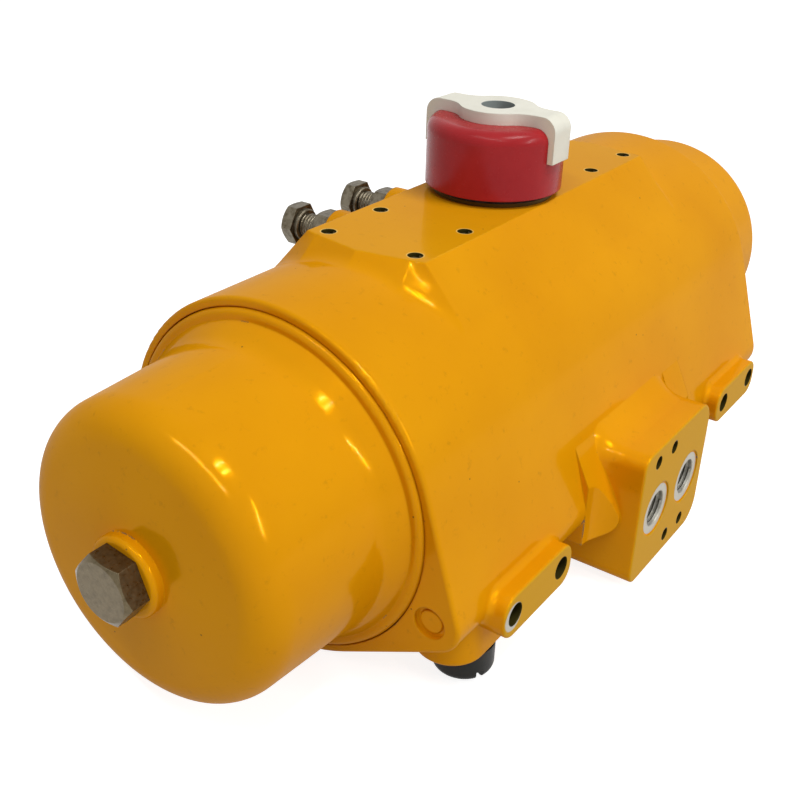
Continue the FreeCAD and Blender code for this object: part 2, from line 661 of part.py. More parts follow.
def port_cuts():
    """Two air ports with their pilots, the solenoid screws, and the channel to both spring ends."""
    cuts = []
    for side in (-1, 1):
        x = side * PORT_PITCH / 2
        seat = -PORT_FACE + PORT_SEAT_DEPTH
        thread_floor = -PORT_FACE + PORT_THREAD_DEPTH
        cuts.append(cylinder_y(PORT_SEAT_RADIUS, -PORT_FACE - CUT, seat, x, PORT_HEIGHT))
        cuts.append(cylinder_y(PORT_CORE, -PORT_FACE - CUT, thread_floor, x, PORT_HEIGHT))
        pilot_end = -BORE_RADIUS + PORT_PILOT_REACH if side < 0 else -EAR_SIDE + SPRING_CHANNEL_RADIUS
        cuts.append(cylinder_y(PORT_PILOT, thread_floor - CUT, pilot_end, x, PORT_HEIGHT))
        screw_floor = -PORT_FACE + M5_DEPTH
        upper_x = PORT_SCREWS_UPPER_X + side * PORT_SCREW_PITCH / 2
        lower_x = PORT_SCREWS_LOWER_X + side * PORT_SCREW_PITCH / 2
        upper_z = PORT_HEIGHT + PORT_SCREWS_UPPER_RISE
        lower_z = PORT_HEIGHT - PORT_SCREWS_LOWER_DROP
        cuts.append(cylinder_y(M5_CORE, -PORT_FACE - CUT, screw_floor, upper_x, upper_z))
        cuts.append(cylinder_y(M5_CORE, -PORT_FACE - CUT, screw_floor, lower_x, lower_z))
    channel_end = HALF_LENGTH + CUT
    channel_y = -EAR_SIDE - SPRING_CHANNEL_OUTWARD
    cuts.append(cylinder_x(SPRING_CHANNEL_RADIUS, -HALF_LENGTH, HALF_LENGTH, channel_y, EAR_HEIGHT))
    for end in (-1, 1):
        drilling_x = end * SPRING_DRILLING_X
        cuts.append(cylinder_y(SPRING_CHANNEL_RADIUS, channel_y, 0, drilling_x, EAR_HEIGHT))
        ends = sorted((end * (CHANNEL_PLUG_END - SPRING_CHANNEL_PLUG_LENGTH), end * channel_end))
        cuts.append(cylinder_x(SPRING_CHANNEL_PLUG, *ends, -EAR_SIDE, EAR_HEIGHT))
        ends = sorted((end * (HALF_LENGTH - SPRING_CHANNEL_MOUTH_DEPTH), end * channel_end))
        cuts.append(cylinder_x(SPRING_CHANNEL_MOUTH, *ends, -EAR_SIDE, EAR_HEIGHT))
    return cuts


def cylinder_cuts():
    """Bore, cap seats, key grooves and the slot that each key wire is fed through."""
    seat_end = HALF_LENGTH + CUT
    cuts = [cylinder_x(BORE_RADIUS, -seat_end, seat_end)]
    for end in (-1, 1):
        ends = sorted((end * SEAT_FLOOR, end * seat_end))
        cuts.append(cylinder_x(SEAT_RADIUS, *ends))
        half_key = KEY_WIRE / 2 + KEY_SIDE_CLEARANCE
        groove = sorted((end * (KEY_X - half_key), end * (KEY_X + half_key)))
        cuts.append(cylinder_x(SEAT_RADIUS + KEY_SLOT_DEPTH, *groove))
        side = end * KEY_RADIUS
        feed = KEY_WIRE / 2 + KEY_FEED_CLEARANCE
        cuts.append(cylinder_z(feed, KEY_BOSS_LOW, AXIS_HEIGHT, end * KEY_X, side))
        plug_top = KEY_BOSS_LOW + KEY_PLUG_LENGTH + KEY_PLUG_END_SPACE
        cuts.append(cylinder_z(KEY_PLUG_SHANK, KEY_BOSS_LOW - CUT, plug_top, end * KEY_X, side))
    return cuts


def pinion_bore_cuts():
    """Stepped hole for the pinion and its two bushes, and the spigot recess below."""
    upper_step = UPPER_BUSH_HIGH + UPPER_BUSH_END_SPACE
    collar_seat = UPPER_BUSH_LOW + UPPER_BUSH_COLLAR
    return [
        cylinder_z(PINION_UPPER_JOURNAL + JOURNAL_CLEARANCE, AXIS_HEIGHT, PAD_HEIGHT + CUT),
        cylinder_z(UPPER_BUSH_RADIUS, AXIS_HEIGHT, upper_step),
        cylinder_z(UPPER_BUSH_COLLAR_RADIUS + SEAT_CLEARANCE, AXIS_HEIGHT, collar_seat),
        cylinder_z(LOWER_BUSH_RADIUS, -CUT, AXIS_HEIGHT),
        cylinder_z(SPIGOT_RECESS_RADIUS, -CUT, SPIGOT_RECESS_DEPTH),
    ]


def flange_holes():
    spacing = FLANGE_BOLT_CIRCLE / math.sqrt(2)
    return rectangle_of_holes(spacing, spacing, M8_CORE, -CUT, FLANGE_BOLT_DEPTH)


def lug_holes():
    holes = []
    for sign_x in (1, -1):
        for sign_y in (1, -1):
            for place in (LUG_HOLE_INNER, LUG_HOLE_OUTER):
                depths = sorted((sign_y * (LUG_FACE + CUT), sign_y * (LUG_FACE - LUG_HOLE_DEPTH)))
                holes.append(cylinder_y(M8_CORE, *depths, sign_x * place, LUG_HOLE_HEIGHT))
    return holes


def stop_holes():
    holes = []
    thread = STOP_BOLT_RADIUS + STOP_THREAD_CLEARANCE
    for side in (-1, 1):
        x = side * STOP_SPACING / 2
        holes.append(cylinder_y(thread, 0, STOP_BOSS_FACE + CUT, x, STOP_HEIGHT))
    return holes


def housing():
    body = body_outline().extrude(Vector(BODY_LENGTH, 0, 0))
    rims = [edge for edge in body.Edges if abs(abs(edge.CenterOfMass.x) - HALF_LENGTH) < 0.01]
    body = body.makeFillet(END_EDGE_ROUND, rims)
    flange_wire = rounded_rectangle(FLANGE_HALF_WIDTH, FLANGE_HALF_WIDTH, [FLANGE_CORNER] * 4, 0)
    flange = Part.Face(flange_wire).extrude(Vector(0, 0, FLANGE_THICKNESS))
    bosses = []
    for side in (-1, 1):
        x = side * STOP_SPACING / 2
        bosses.append(cylinder_y(STOP_BOSS_RADIUS, STOP_BOSS_RADIUS, STOP_BOSS_FACE, x, STOP_HEIGHT))
    body = fuse_with_fillet(body, [accessory_pad()], PAD_ROOT_ROUND)
    body = fuse_with_fillet(body, side_lugs(), LUG_ROOT_ROUND)
    body = fuse_with_fillet(body, bosses, STOP_BOSS_ROOT_ROUND)
    solid = fuse_all(body, [port_block(), flange] + ear_swells() + key_bosses())
    cuts = cylinder_cuts() + pinion_bore_cuts() + flange_holes() + lug_holes() + stop_holes()
    cuts += port_cuts()
    pad_floor = PAD_HEIGHT - M5_DEPTH
    for pitch in (PAD_HOLE_PITCH_LONG, PAD_HOLE_PITCH_SHORT):
        cuts += rectangle_of_holes(pitch, PAD_HOLE_PITCH_ACROSS, M5_CORE, pad_floor, PAD_HEIGHT + CUT)
    return solid.cut(cuts)


def end_cap():
    """Front spring cap: skirt in the body, flange, tapering tube, domed face and bolt boss."""
    skirt_inner = CAP_SKIRT_RADIUS - CAP_SKIRT_WALL
    skirt_end = SEAT_FLOOR + SEAT_CLEARANCE
    flange_back = CAP_FLANGE_FACE - CAP_FLANGE_DEPTH
    outside = [
        (-skirt_end, 0),
        (-skirt_end, CAP_SKIRT_RADIUS),
        (-CAP_FLANGE_FACE, CAP_SKIRT_RADIUS),
        (-CAP_FLANGE_FACE, CAP_FLANGE_LAND),
        (-CAP_TUBE_START, CAP_TUBE_ROOT),
        (-CAP_FACE, CAP_TUBE_END),
        (-CAP_FACE - CAP_DOME_RISE, CAP_BOSS_RADIUS),
        (-CAP_FACE - CAP_DOME_RISE, 0),
    ]
    shell = revolve_about_cylinder(outside)
    shell = round_rings(shell, CAP_CORNER_ROUND, -CAP_FACE, CAP_TUBE_END)
    shell = round_rings(shell, CAP_FLANGE_ROUND, -CAP_FLANGE_FACE, CAP_SKIRT_RADIUS)
    shell = round_rings(shell, CAP_CORNER_ROUND, -CAP_TUBE_START, CAP_TUBE_ROOT)
    boss = cylinder_x(CAP_BOSS_RADIUS, -CAP_BOSS_FACE, -CAP_FACE)
    boss = round_rings(boss, CAP_BOSS_ROUND, -CAP_BOSS_FACE, CAP_BOSS_RADIUS)
    shell = shell.fuse(boss)
    inside = [
        (-skirt_end + CUT, 0),
        (-skirt_end + CUT, skirt_inner),
        (-flange_back, skirt_inner),
        (-CAP_TUBE_START, CAP_TUBE_ROOT - CAP_WALL),
        (-CAP_INNER_FACE, CAP_TUBE_END - CAP_WALL),
        (-CAP_INNER_FACE, 0),
    ]
    hollow = revolve_about_cylinder(inside)
    hollow = round_rings(hollow, CAP_INNER_ROUND, -CAP_INNER_FACE, CAP_TUBE_END - CAP_WALL)
    seal_floor = CAP_SKIRT_RADIUS - CAP_SEAL_SECTION + CAP_FIT
    key_floor = KEY_RADIUS - KEY_WIRE / 2 - RUNNING_CLEARANCE
    blank_outer = CAP_SKIRT_RADIUS + CUT
    half_seal = CAP_SEAL_SECTION / 2 + SEAL_SIDE_CLEARANCE
    half_key = KEY_WIRE / 2 + KEY_SIDE_CLEARANCE
    seal_groove = tube_x(blank_outer, seal_floor, -CAP_SEAL_X - half_seal, -CAP_SEAL_X + half_seal)
    key_groove = tube_x(blank_outer, key_floor, -KEY_X - half_key, -KEY_X + half_key)
    bolt_hole = cylinder_x(CAP_BOLT_HOLE, -CAP_BOSS_FACE - CUT, -CAP_INNER_FACE + CUT)
    seat_depth = CAP_BOSS_FACE - BOLT_SEAL_SECTION
    seal_seat = cylinder_x(CAP_BOLT_RADIUS + BOLT_SEAL_SECTION, -CAP_BOSS_FACE - CUT, -seat_depth)
    return shell.cut([hollow, seal_groove, key_groove, bolt_hole, seal_seat])


def round_rings(shape, radius, x, ring_radius):
    """Rounds the circular edge at x with this radius about the cylinder axis."""
    found = []
    for edge in shape.Edges:
        curve = edge.Curve
        if not isinstance(curve, Part.Circle):
            continue
        at_x = abs(curve.Center.x - x) < 0.01 and abs(curve.Axis.x) > 0.99
        if at_x and abs(curve.Radius - ring_radius) < 0.01:
            found.append(edge)
    return shape.makeFillet(radius, found)


def cap_seal():
    groove = CAP_SKIRT_RADIUS - CAP_SEAL_SECTION + CAP_FIT
    return o_ring_x(groove, SEAT_RADIUS, -CAP_SEAL_X)


def cap_key():
    """Wire that locks the cap: a ring in the groove with its tail down in the feed slot."""
    bend = Vector(-KEY_X, -KEY_RADIUS, AXIS_HEIGHT)
    section = Part.Face(Part.Wire(Part.makeCircle(KEY_WIRE / 2, bend)))
    ring = section.revolve(Vector(0, 0, AXIS_HEIGHT), Vector(1, 0, 0), KEY_MOUTH - 360)
    tail_low = KEY_BOSS_LOW + KEY_PLUG_LENGTH + SEAT_CLEARANCE
    tail = section.extrude(Vector(0, 0, tail_low - AXIS_HEIGHT))
    return ring.fuse(tail)


def key_plug():
    """Slotted plug that closes the key's feed slot from below."""
    x = -KEY_X
    y = -KEY_RADIUS
    low = KEY_BOSS_LOW - KEY_PLUG_HEAD
    head = cylinder_z(KEY_PLUG_HEAD_RADIUS, low, KEY_BOSS_LOW, x, y)
    edges = [edge for edge in head.Edges if abs(edge.CenterOfMass.z - low) < 0.01]
    head = head.makeFillet(KEY_PLUG_ROUND, edges)
    shank_radius = KEY_PLUG_SHANK - PLUG_CLEARANCE
    shank = cylinder_z(shank_radius, KEY_BOSS_LOW, KEY_BOSS_LOW + KEY_PLUG_LENGTH, x, y)
    half = KEY_PLUG_SLOT_WIDTH / 2
    reach = KEY_PLUG_HEAD_RADIUS + CUT
    slot = box(x - reach, x + reach, y - half, y + half, low - CUT, low + KEY_PLUG_SLOT_DEPTH)
    slot.rotate(Vector(x, y, 0), Vector(0, 0, 1), KEY_PLUG_SLOT_TURN)
    return head.fuse(shank).cut(slot)


def channel_plug():
    radius = SPRING_CHANNEL_PLUG - THREAD_CLEARANCE
    inner_end = CHANNEL_PLUG_END - SPRING_CHANNEL_PLUG_LENGTH + SEAT_CLEARANCE
    plug = cylinder_x(radius, -CHANNEL_PLUG_END, -inner_end, -EAR_SIDE, EAR_HEIGHT)
    edges = [edge for edge in plug.Edges if abs(edge.CenterOfMass.x + CHANNEL_PLUG_END) < 0.01]
    return plug.makeFillet(SPRING_CHANNEL_PLUG_ROUND, edges)


def channel_plugs():
    """Both plugs of the drilled air channel in the port-side ear."""
    front = channel_plug()
    rear = front.mirror(Vector(0, 0, 0), Vector(1, 0, 0))
    return Part.makeCompound([front, rear])


def cap_bolt():
    """Long hexagon bolt from the cap's boss into the spring cartridge."""
    head = hexagon(CAP_BOLT_ACROSS_FLATS, CAP_BOLT_HEAD, True)
    head.rotate(Vector(0, 0, 0), Vector(0, 0, 1), CAP_BOLT_TURN)
    head.rotate(Vector(0, 0, 0), Vector(0, 1, 0), -90)
    head.translate(Vector(-CAP_BOSS_FACE, 0, AXIS_HEIGHT))
    shank = cylinder_x(CAP_BOLT_RADIUS, -CAP_BOSS_FACE, -NUT_INNER_FACE + CAP_BOLT_OVERRUN)
    return head.fuse(shank)


def bolt_seal():
    middle = CAP_BOSS_FACE - BOLT_SEAL_SECTION / 2
    return o_ring_x(CAP_BOLT_RADIUS, CAP_BOLT_RADIUS + BOLT_SEAL_SECTION, -middle)


def cartridge_nut():
    """Round nut on the bolt's inner end, which the sleeve's lip pulls against."""
    nut = cylinder_x(CARTRIDGE_NUT_RADIUS, -NUT_OUTER_FACE, -NUT_INNER_FACE)
    thread = CAP_BOLT_RADIUS + THREAD_CLEARANCE
    bore = cylinder_x(thread, -NUT_OUTER_FACE - CUT, -NUT_INNER_FACE + CUT)
    return nut.cut(bore)


def spring_plate():
    """Plate on the piston with the sleeve that slides over the cap bolt."""
    plate = cylinder_x(PLATE_RADIUS, -PLATE_FACE, -POCKET_FLOOR)
    sleeve = cylinder_x(SLEEVE_RADIUS, -SLEEVE_END, -PLATE_FACE)
    lip_face = SLEEVE_END - SLEEVE_LIP
    bore = cylinder_x(SLEEVE_BORE, -lip_face, -PLATE_FACE)
    mouth = cylinder_x(CAP_BOLT_HOLE, -SLEEVE_END - CUT, -lip_face + CUT)
    gap_inner = INNER_SPRING_MEAN_RADIUS + INNER_SPRING_WIRE / 2
    gap_outer = SPRING_MEAN_RADIUS - SPRING_WIRE / 2
    locating = (gap_inner + gap_outer) / 2
    half = PLATE_RIB_THICKNESS / 2
    rib = tube_x(locating + half, locating - half, -PLATE_FACE - PLATE_RIB_HEIGHT, -PLATE_FACE)
    return plate.fuse([sleeve, rib]).cut([bore, mouth])


def coil_spring(mean_radius, wire, turns):
    """Coil between the spring plate and the cap's inner face, ground flat at both ends."""
    plate_end = PLATE_FACE + SEAT_CLEARANCE / 2
    cap_end = CAP_INNER_FACE - SEAT_CLEARANCE / 2
    length = cap_end - plate_end
    helix = Part.makeHelix(length / turns, length, mean_radius)
    section = Part.Wire(Part.makeCircle(wire / 2, Vector(mean_radius, 0, 0), Vector(0, 1, 0)))
    coil = Part.Wire(helix).makePipeShell([section], True, True)
    coil.rotate(Vector(0, 0, 0), Vector(0, 1, 0), -90)
    coil.translate(Vector(-plate_end, 0, AXIS_HEIGHT))
    ground = cylinder_x(mean_radius + wire, -cap_end, -plate_end)
    return coil.common(ground)


def rack_tooth(x):
    """One straight-sided tooth of the +Y rack, pointing to the pinion."""
    slope = math.tan(math.radians(PRESSURE_ANGLE))
    half_pitch_line = (TOOTH_PITCH - BACKLASH) / 4
    tip_half = half_pitch_line - RACK_ADDENDUM * slope
    root_half = half_pitch_line + DEDENDUM * slope
    points = [
        Vector(x - root_half, RACK_ROOT, 0),
        Vector(x - tip_half, RACK_TIP, 0),
        Vector(x + tip_half, RACK_TIP, 0),
        Vector(x + root_half, RACK_ROOT, 0),
        Vector(x + root_half, RACK_ROOT + CUT, 0),
        Vector(x - root_half, RACK_ROOT + CUT, 0),
    ]
    tooth = polygon_face(points).extrude(Vector(0, 0, 2 * RACK_HALF_HEIGHT))
    tooth.translate(Vector(0, 0, AXIS_HEIGHT - RACK_HALF_HEIGHT))
    return tooth


def guide_ends():
    return RACK_END - GUIDE_SETBACK - GUIDE_LENGTH, RACK_END - GUIDE_SETBACK


def piston():
    """Front piston: crown with seal and band grooves, spring pocket, and the rack on its +Y arm."""
    crown = cylinder_x(PISTON_RADIUS, -PISTON_OUTER_FACE, -PISTON_INNER_FACE)
    rim = [edge for edge in crown.Edges if isinstance(edge.Curve, Part.Circle)]
    crown = crown.makeChamfer(PISTON_EDGE, rim)
    low = AXIS_HEIGHT - RACK_HALF_HEIGHT
    high = AXIS_HEIGHT + RACK_HALF_HEIGHT
    arm = box(-PISTON_INNER_FACE - CUT, RACK_END, RACK_ROOT, RACK_BACK, low, high)
    teeth = []
    for index in range(-RACK_TEETH_BEHIND, RACK_TEETH_AHEAD):
        teeth.append(rack_tooth((index + 0.5) * TOOTH_PITCH))
    gusset = polygon_face([
        Vector(-PISTON_INNER_FACE - CUT, RACK_BACK - CUT, 0),
        Vector(-PISTON_INNER_FACE + GUSSET_LENGTH, RACK_BACK - CUT, 0),
        Vector(-PISTON_INNER_FACE - CUT, RACK_BACK + GUSSET_HEIGHT, 0),
    ]).extrude(Vector(0, 0, GUSSET_THICKNESS))
    gusset.translate(Vector(0, 0, AXIS_HEIGHT - GUSSET_THICKNESS / 2))
    half_web = WEB_THICKNESS / 2
    web = box(-PISTON_INNER_FACE - CUT, -PISTON_INNER_FACE + WEB_LENGTH, -RACK_TIP + CUT, RACK_BACK,
              AXIS_HEIGHT - half_web, AXIS_HEIGHT + half_web)
    solid = fuse_all(crown, [arm, gusset, web] + teeth)
    pocket = cylinder_x(PISTON_POCKET_RADIUS, -PISTON_OUTER_FACE - CUT, -POCKET_FLOOR)
    blank = PISTON_RADIUS + CUT
    seal_x = PISTON_OUTER_FACE - PISTON_SEAL_BACK
    seal_floor = BORE_RADIUS - PISTON_SEAL_SECTION
    half_seal = PISTON_SEAL_SECTION / 2 + SEAL_SIDE_CLEARANCE
    seal_groove = tube_x(blank, seal_floor, -seal_x - half_seal, -seal_x + half_seal)
    band_start = PISTON_INNER_FACE + BAND_FRONT
    band_groove = tube_x(blank, BORE_RADIUS - BAND_THICKNESS - RUNNING_CLEARANCE,
                         -band_start - BAND_WIDTH - BAND_SIDE_CLEARANCE, -band_start + BAND_SIDE_CLEARANCE)
    start, end = guide_ends()
    half = GUIDE_TENON + RUNNING_CLEARANCE
    floor = RACK_BACK - GUIDE_TENON_DEPTH - 2 * RUNNING_CLEARANCE
    mortice = box(start + GUIDE_TENON_INSET, end - GUIDE_TENON_INSET, floor, RACK_BACK + CUT,
                  AXIS_HEIGHT - half, AXIS_HEIGHT + half)
    return solid.cut([pocket, seal_groove, band_groove, mortice])


def piston_seal():
    seal_x = PISTON_OUTER_FACE - PISTON_SEAL_BACK
    return o_ring_x(BORE_RADIUS - PISTON_SEAL_SECTION, BORE_RADIUS - RUNNING_CLEARANCE, -seal_x)


def piston_band():
    """Split guide band in the piston's front groove."""
    start = PISTON_INNER_FACE + BAND_FRONT
    outer = BORE_RADIUS - RUNNING_CLEARANCE
    band = tube_x(outer, BORE_RADIUS - BAND_THICKNESS, -start - BAND_WIDTH, -start)
    half = BAND_GAP / 2
    gap = box(-start - BAND_WIDTH - CUT, -start + CUT, -half, half, AXIS_HEIGHT - outer - CUT, AXIS_HEIGHT)
    return band.cut(gap)


def rack_guide():
    """Sliding pad between the rack's back and the cylinder wall, with a tenon into the rack."""
    start, end = guide_ends()
    low = AXIS_HEIGHT - GUIDE_HALF_HEIGHT
    high = AXIS_HEIGHT + GUIDE_HALF_HEIGHT
    pad = box(start, end, RACK_BACK, BORE_RADIUS, low, high)
    pad = pad.common(cylinder_x(BORE_RADIUS - RUNNING_CLEARANCE, start - CUT, end + CUT))
    half = GUIDE_TENON
    inset = GUIDE_TENON_INSET + RUNNING_CLEARANCE
    tenon = box(start + inset, end - inset, RACK_BACK - GUIDE_TENON_DEPTH, RACK_BACK,
                AXIS_HEIGHT - half, AXIS_HEIGHT + half)
    return pad.fuse(tenon)


def involute_point(base_radius, radius, offset):
    """Point of the involute at this radius, turned by offset, in the XY plane."""
    roll = math.sqrt(max((radius / base_radius) ** 2 - 1, 0))
    angle = offset + roll - math.atan(roll)
    return Vector(radius * math.cos(angle), radius * math.sin(angle), 0)


def gear_outline():
    """Closed outline of the pinion's teeth, with involute flanks as arcs."""
    pressure = math.radians(PRESSURE_ANGLE)
    base = PITCH_RADIUS * math.cos(pressure)
    tip = PITCH_RADIUS + PINION_ADDENDUM
    root = PITCH_RADIUS - DEDENDUM
    involute_at_pitch = math.tan(pressure) - pressure
    half_tooth = (TOOTH_PITCH - BACKLASH) / (4 * PITCH_RADIUS) + involute_at_pitch
    middle = (base + tip) / 2
    edges = []
    for index in range(PINION_TEETH):
        centre = 2 * math.pi * index / PINION_TEETH
        right = [involute_point(base, radius, centre - half_tooth) for radius in (base, middle, tip)]
        left = []
        for point in right:
            mirrored = 2 * centre - math.atan2(point.y, point.x)
            length = math.hypot(point.x, point.y)
            left.append(Vector(length * math.cos(mirrored), length * math.sin(mirrored), 0))
        scale = root / base
        right_root = right[0] * scale
        left_root = left[0] * scale
        crest = Vector(tip * math.cos(centre), tip * math.sin(centre), 0)
        edges.append(Part.makeLine(right_root, right[0]))
        edges.append(Part.Arc(*right).toShape())
        edges.append(Part.Arc(right[2], crest, left[2]).toShape())
        edges.append(Part.Arc(*reversed(left)).toShape())
        edges.append(Part.makeLine(left[0], left_root))
        next_centre = centre + 2 * math.pi / PINION_TEETH
        valley = centre + math.pi / PINION_TEETH
        next_angle = next_centre - centre + math.atan2(right_root.y, right_root.x)
        next_root = Vector(root * math.cos(next_angle), root * math.sin(next_angle), 0)
        bottom = Vector(root * math.cos(valley), root * math.sin(valley), 0)
        edges.append(Part.Arc(left_root, bottom, next_root).toShape())
    return Part.Face(Part.Wire(Part.__sortEdges__(edges)))


def star_socket():
    """Two squares, an eighth of a turn apart, for the valve stem."""
    half = SOCKET_SQUARE / 2
    square = box(-half, half, -half, half, PINION_FOOT - CUT, SOCKET_DEPTH)
    turned = square.copy()
    turned.rotate(Vector(0, 0, 0), Vector(0, 0, 1), 45)
    return square.fuse(turned)


def pinion():
    gear_low = AXIS_HEIGHT - RACK_HALF_HEIGHT - GEAR_FACE_OVERLAP
    gear_high = AXIS_HEIGHT + RACK_HALF_HEIGHT + GEAR_FACE_OVERLAP
    lower_groove = LOWER_BUSH_RADIUS - LOWER_SEAL_SECTION
    shoulder = LOWER_BUSH_HIGH + PINION_SHOULDER_CLEARANCE
    cam_shoulder = CAM_LOW - RUNNING_CLEARANCE
    shoulder_low = cam_shoulder - PINION_CAM_SHOULDER_DROP
    upper_groove = PINION_UPPER_JOURNAL + JOURNAL_CLEARANCE - UPPER_SEAL_SECTION
    half_groove = UPPER_SEAL_SECTION / 2 + SEAL_SIDE_CLEARANCE
    shaft = revolve_about_pinion([
        (0, PINION_FOOT),
        (PINION_LOWER_JOURNAL - PINION_FOOT_CHAMFER, PINION_FOOT),
        (PINION_LOWER_JOURNAL, PINION_FOOT + PINION_FOOT_CHAMFER),
        (PINION_LOWER_JOURNAL, LOWER_SEAL_LOW),
        (lower_groove, LOWER_SEAL_LOW),
        (lower_groove, LOWER_SEAL_HIGH),
        (PINION_LOWER_JOURNAL, LOWER_SEAL_HIGH),
        (PINION_LOWER_JOURNAL, shoulder + PINION_SHOULDER_RIM),
        (PINION_NECK, shoulder + PINION_SHOULDER_RIM + PINION_SHOULDER_CONE),
        (PINION_NECK, shoulder_low - PINION_CAM_CONE),
        (PINION_CAM_SHOULDER, shoulder_low),
        (PINION_CAM_SHOULDER, cam_shoulder),
        (PINION_CAM_SEAT, cam_shoulder),
        (PINION_CAM_SEAT, CAM_HIGH),
        (PINION_UPPER_JOURNAL, CAM_HIGH),
        (PINION_UPPER_JOURNAL, UPPER_SEAL_HEIGHT - half_groove),
        (upper_groove, UPPER_SEAL_HEIGHT - half_groove),
        (upper_groove, UPPER_SEAL_HEIGHT + half_groove),
        (PINION_UPPER_JOURNAL, UPPER_SEAL_HEIGHT + half_groove),
        (PINION_UPPER_JOURNAL, CIRCLIP_LOW),
        (CIRCLIP_GROOVE, CIRCLIP_LOW),
        (CIRCLIP_GROOVE, CIRCLIP_HIGH + RUNNING_CLEARANCE),
        (PINION_UPPER_JOURNAL, CIRCLIP_HIGH + RUNNING_CLEARANCE),
        (PINION_UPPER_JOURNAL, SHOULDER_HEIGHT),
        (SPIGOT_RADIUS, SHOULDER_HEIGHT),
        (SPIGOT_RADIUS, SPIGOT_TOP - PINION_TIP_CHAMFER),
        (SPIGOT_RADIUS - PINION_TIP_CHAMFER, SPIGOT_TOP),
        (0, SPIGOT_TOP),
    ])
    gear = gear_outline().extrude(Vector(0, 0, gear_high - gear_low))
    gear.translate(Vector(0, 0, gear_low))
    solid = shaft.fuse(gear)
    cuts = [star_socket()]
    reach = PINION_CAM_SEAT + CUT
    half = CAM_FLATS / 2
    flat = SPIGOT_FLATS / 2
    for side in (-1, 1):
        spans = sorted((side * half, side * reach))
        cuts.append(box(*spans, -reach, reach, cam_shoulder, CAM_HIGH))
        spans = sorted((side * flat, side * reach))
        cuts.append(box(*spans, -reach, reach, SHOULDER_HEIGHT, SPIGOT_TOP + CUT))
    screw_floor = SCREW_SEAT - SCREW_LENGTH - SCREW_END_SPACE
    cuts.append(cylinder_z(SCREW_RADIUS + THREAD_CLEARANCE, screw_floor, SPIGOT_TOP + CUT))
    return solid.cut(cuts)


def stop_cam():
    """Sector with two flat faces, each of which meets the tip of a travel stop at one end of the turn."""
    reach = CAM_RADIUS + CUT
    sector = cylinder_z(CAM_RADIUS, CAM_LOW, CAM_HIGH)
    sector = sector.common(box(-reach, CAM_FACE_OFFSET, -reach, CAM_FACE_OFFSET, CAM_LOW, CAM_HIGH))
    body = fuse_all(sector, [cylinder_z(CAM_HUB_RADIUS, CAM_LOW, CAM_HIGH)])
    bore = cylinder_z(PINION_CAM_SEAT + RUNNING_CLEARANCE, CAM_LOW - CUT, CAM_HIGH + CUT)
    half = CAM_FLATS / 2 + RUNNING_CLEARANCE
    return body.cut(bore.common(box(-half, half, -reach, reach, CAM_LOW - CUT, CAM_HIGH + CUT)))


def lower_bush():
    bore = PINION_LOWER_JOURNAL + RUNNING_CLEARANCE
    return tube_z(LOWER_BUSH_RADIUS, bore, LOWER_BUSH_LOW, LOWER_BUSH_HIGH)


def lower_seal():
    middle = (LOWER_SEAL_LOW + LOWER_SEAL_HIGH) / 2
    return o_ring_z(LOWER_BUSH_RADIUS - LOWER_SEAL_SECTION, LOWER_BUSH_RADIUS, middle)


def upper_bush():
    """Flanged bush whose collar lies in the cylinder's roof."""
    sleeve = cylinder_z(UPPER_BUSH_RADIUS, UPPER_BUSH_LOW, UPPER_BUSH_HIGH)
    collar = cylinder_z(UPPER_BUSH_COLLAR_RADIUS, UPPER_BUSH_LOW, UPPER_BUSH_LOW + UPPER_BUSH_COLLAR)
    bore = PINION_UPPER_JOURNAL + RUNNING_CLEARANCE
    return sleeve.fuse(collar).cut(cylinder_z(bore, UPPER_BUSH_LOW - CUT, UPPER_BUSH_HIGH + CUT))


def upper_seal():
    bore = PINION_UPPER_JOURNAL + JOURNAL_CLEARANCE
    return o_ring_z(bore - UPPER_SEAL_SECTION, bore, UPPER_SEAL_HEIGHT)


def top_washer():
    top = PAD_HEIGHT + TOP_WASHER_THICKNESS
    return tube_z(TOP_WASHER_RADIUS, PINION_UPPER_JOURNAL + SEAT_CLEARANCE, PAD_HEIGHT, top)


def circlip():
    """Snap ring in the pinion's groove, open at one side."""
    ring = tube_z(CIRCLIP_RADIUS, CIRCLIP_GROOVE + RUNNING_CLEARANCE, CIRCLIP_LOW, CIRCLIP_HIGH)
    half = math.radians(CIRCLIP_MOUTH / 2)
    reach = 2 * CIRCLIP_RADIUS
    mouth = polygon_face([
        Vector(0, 0, CIRCLIP_LOW - CUT),
        Vector(reach * math.cos(half), reach * math.sin(half), CIRCLIP_LOW - CUT),
        Vector(reach * math.cos(half), -reach * math.sin(half), CIRCLIP_LOW - CUT),
    ]).extrude(Vector(0, 0, CIRCLIP_THICKNESS + 2 * CUT))
    return ring.cut(mouth)


def stop_bolt():
    """Front travel stop: hexagon bolt whose tip meets the cam."""
    x = -STOP_SPACING / 2
    head = hexagon(STOP_ACROSS_FLATS, STOP_HEAD_THICKNESS, True)
    head.rotate(Vector(0, 0, 0), Vector(1, 0, 0), -90)
    head.translate(Vector(x, STOP_HEAD_SIDE, STOP_HEIGHT))
    shank = cylinder_y(STOP_BOLT_RADIUS, STOP_TIP, STOP_HEAD_SIDE, x, STOP_HEIGHT)
    tip = [edge for edge in shank.Edges if abs(edge.CenterOfMass.y - STOP_TIP) < 0.01]
    return shank.makeChamfer(STOP_TIP_CHAMFER, tip).fuse(head)


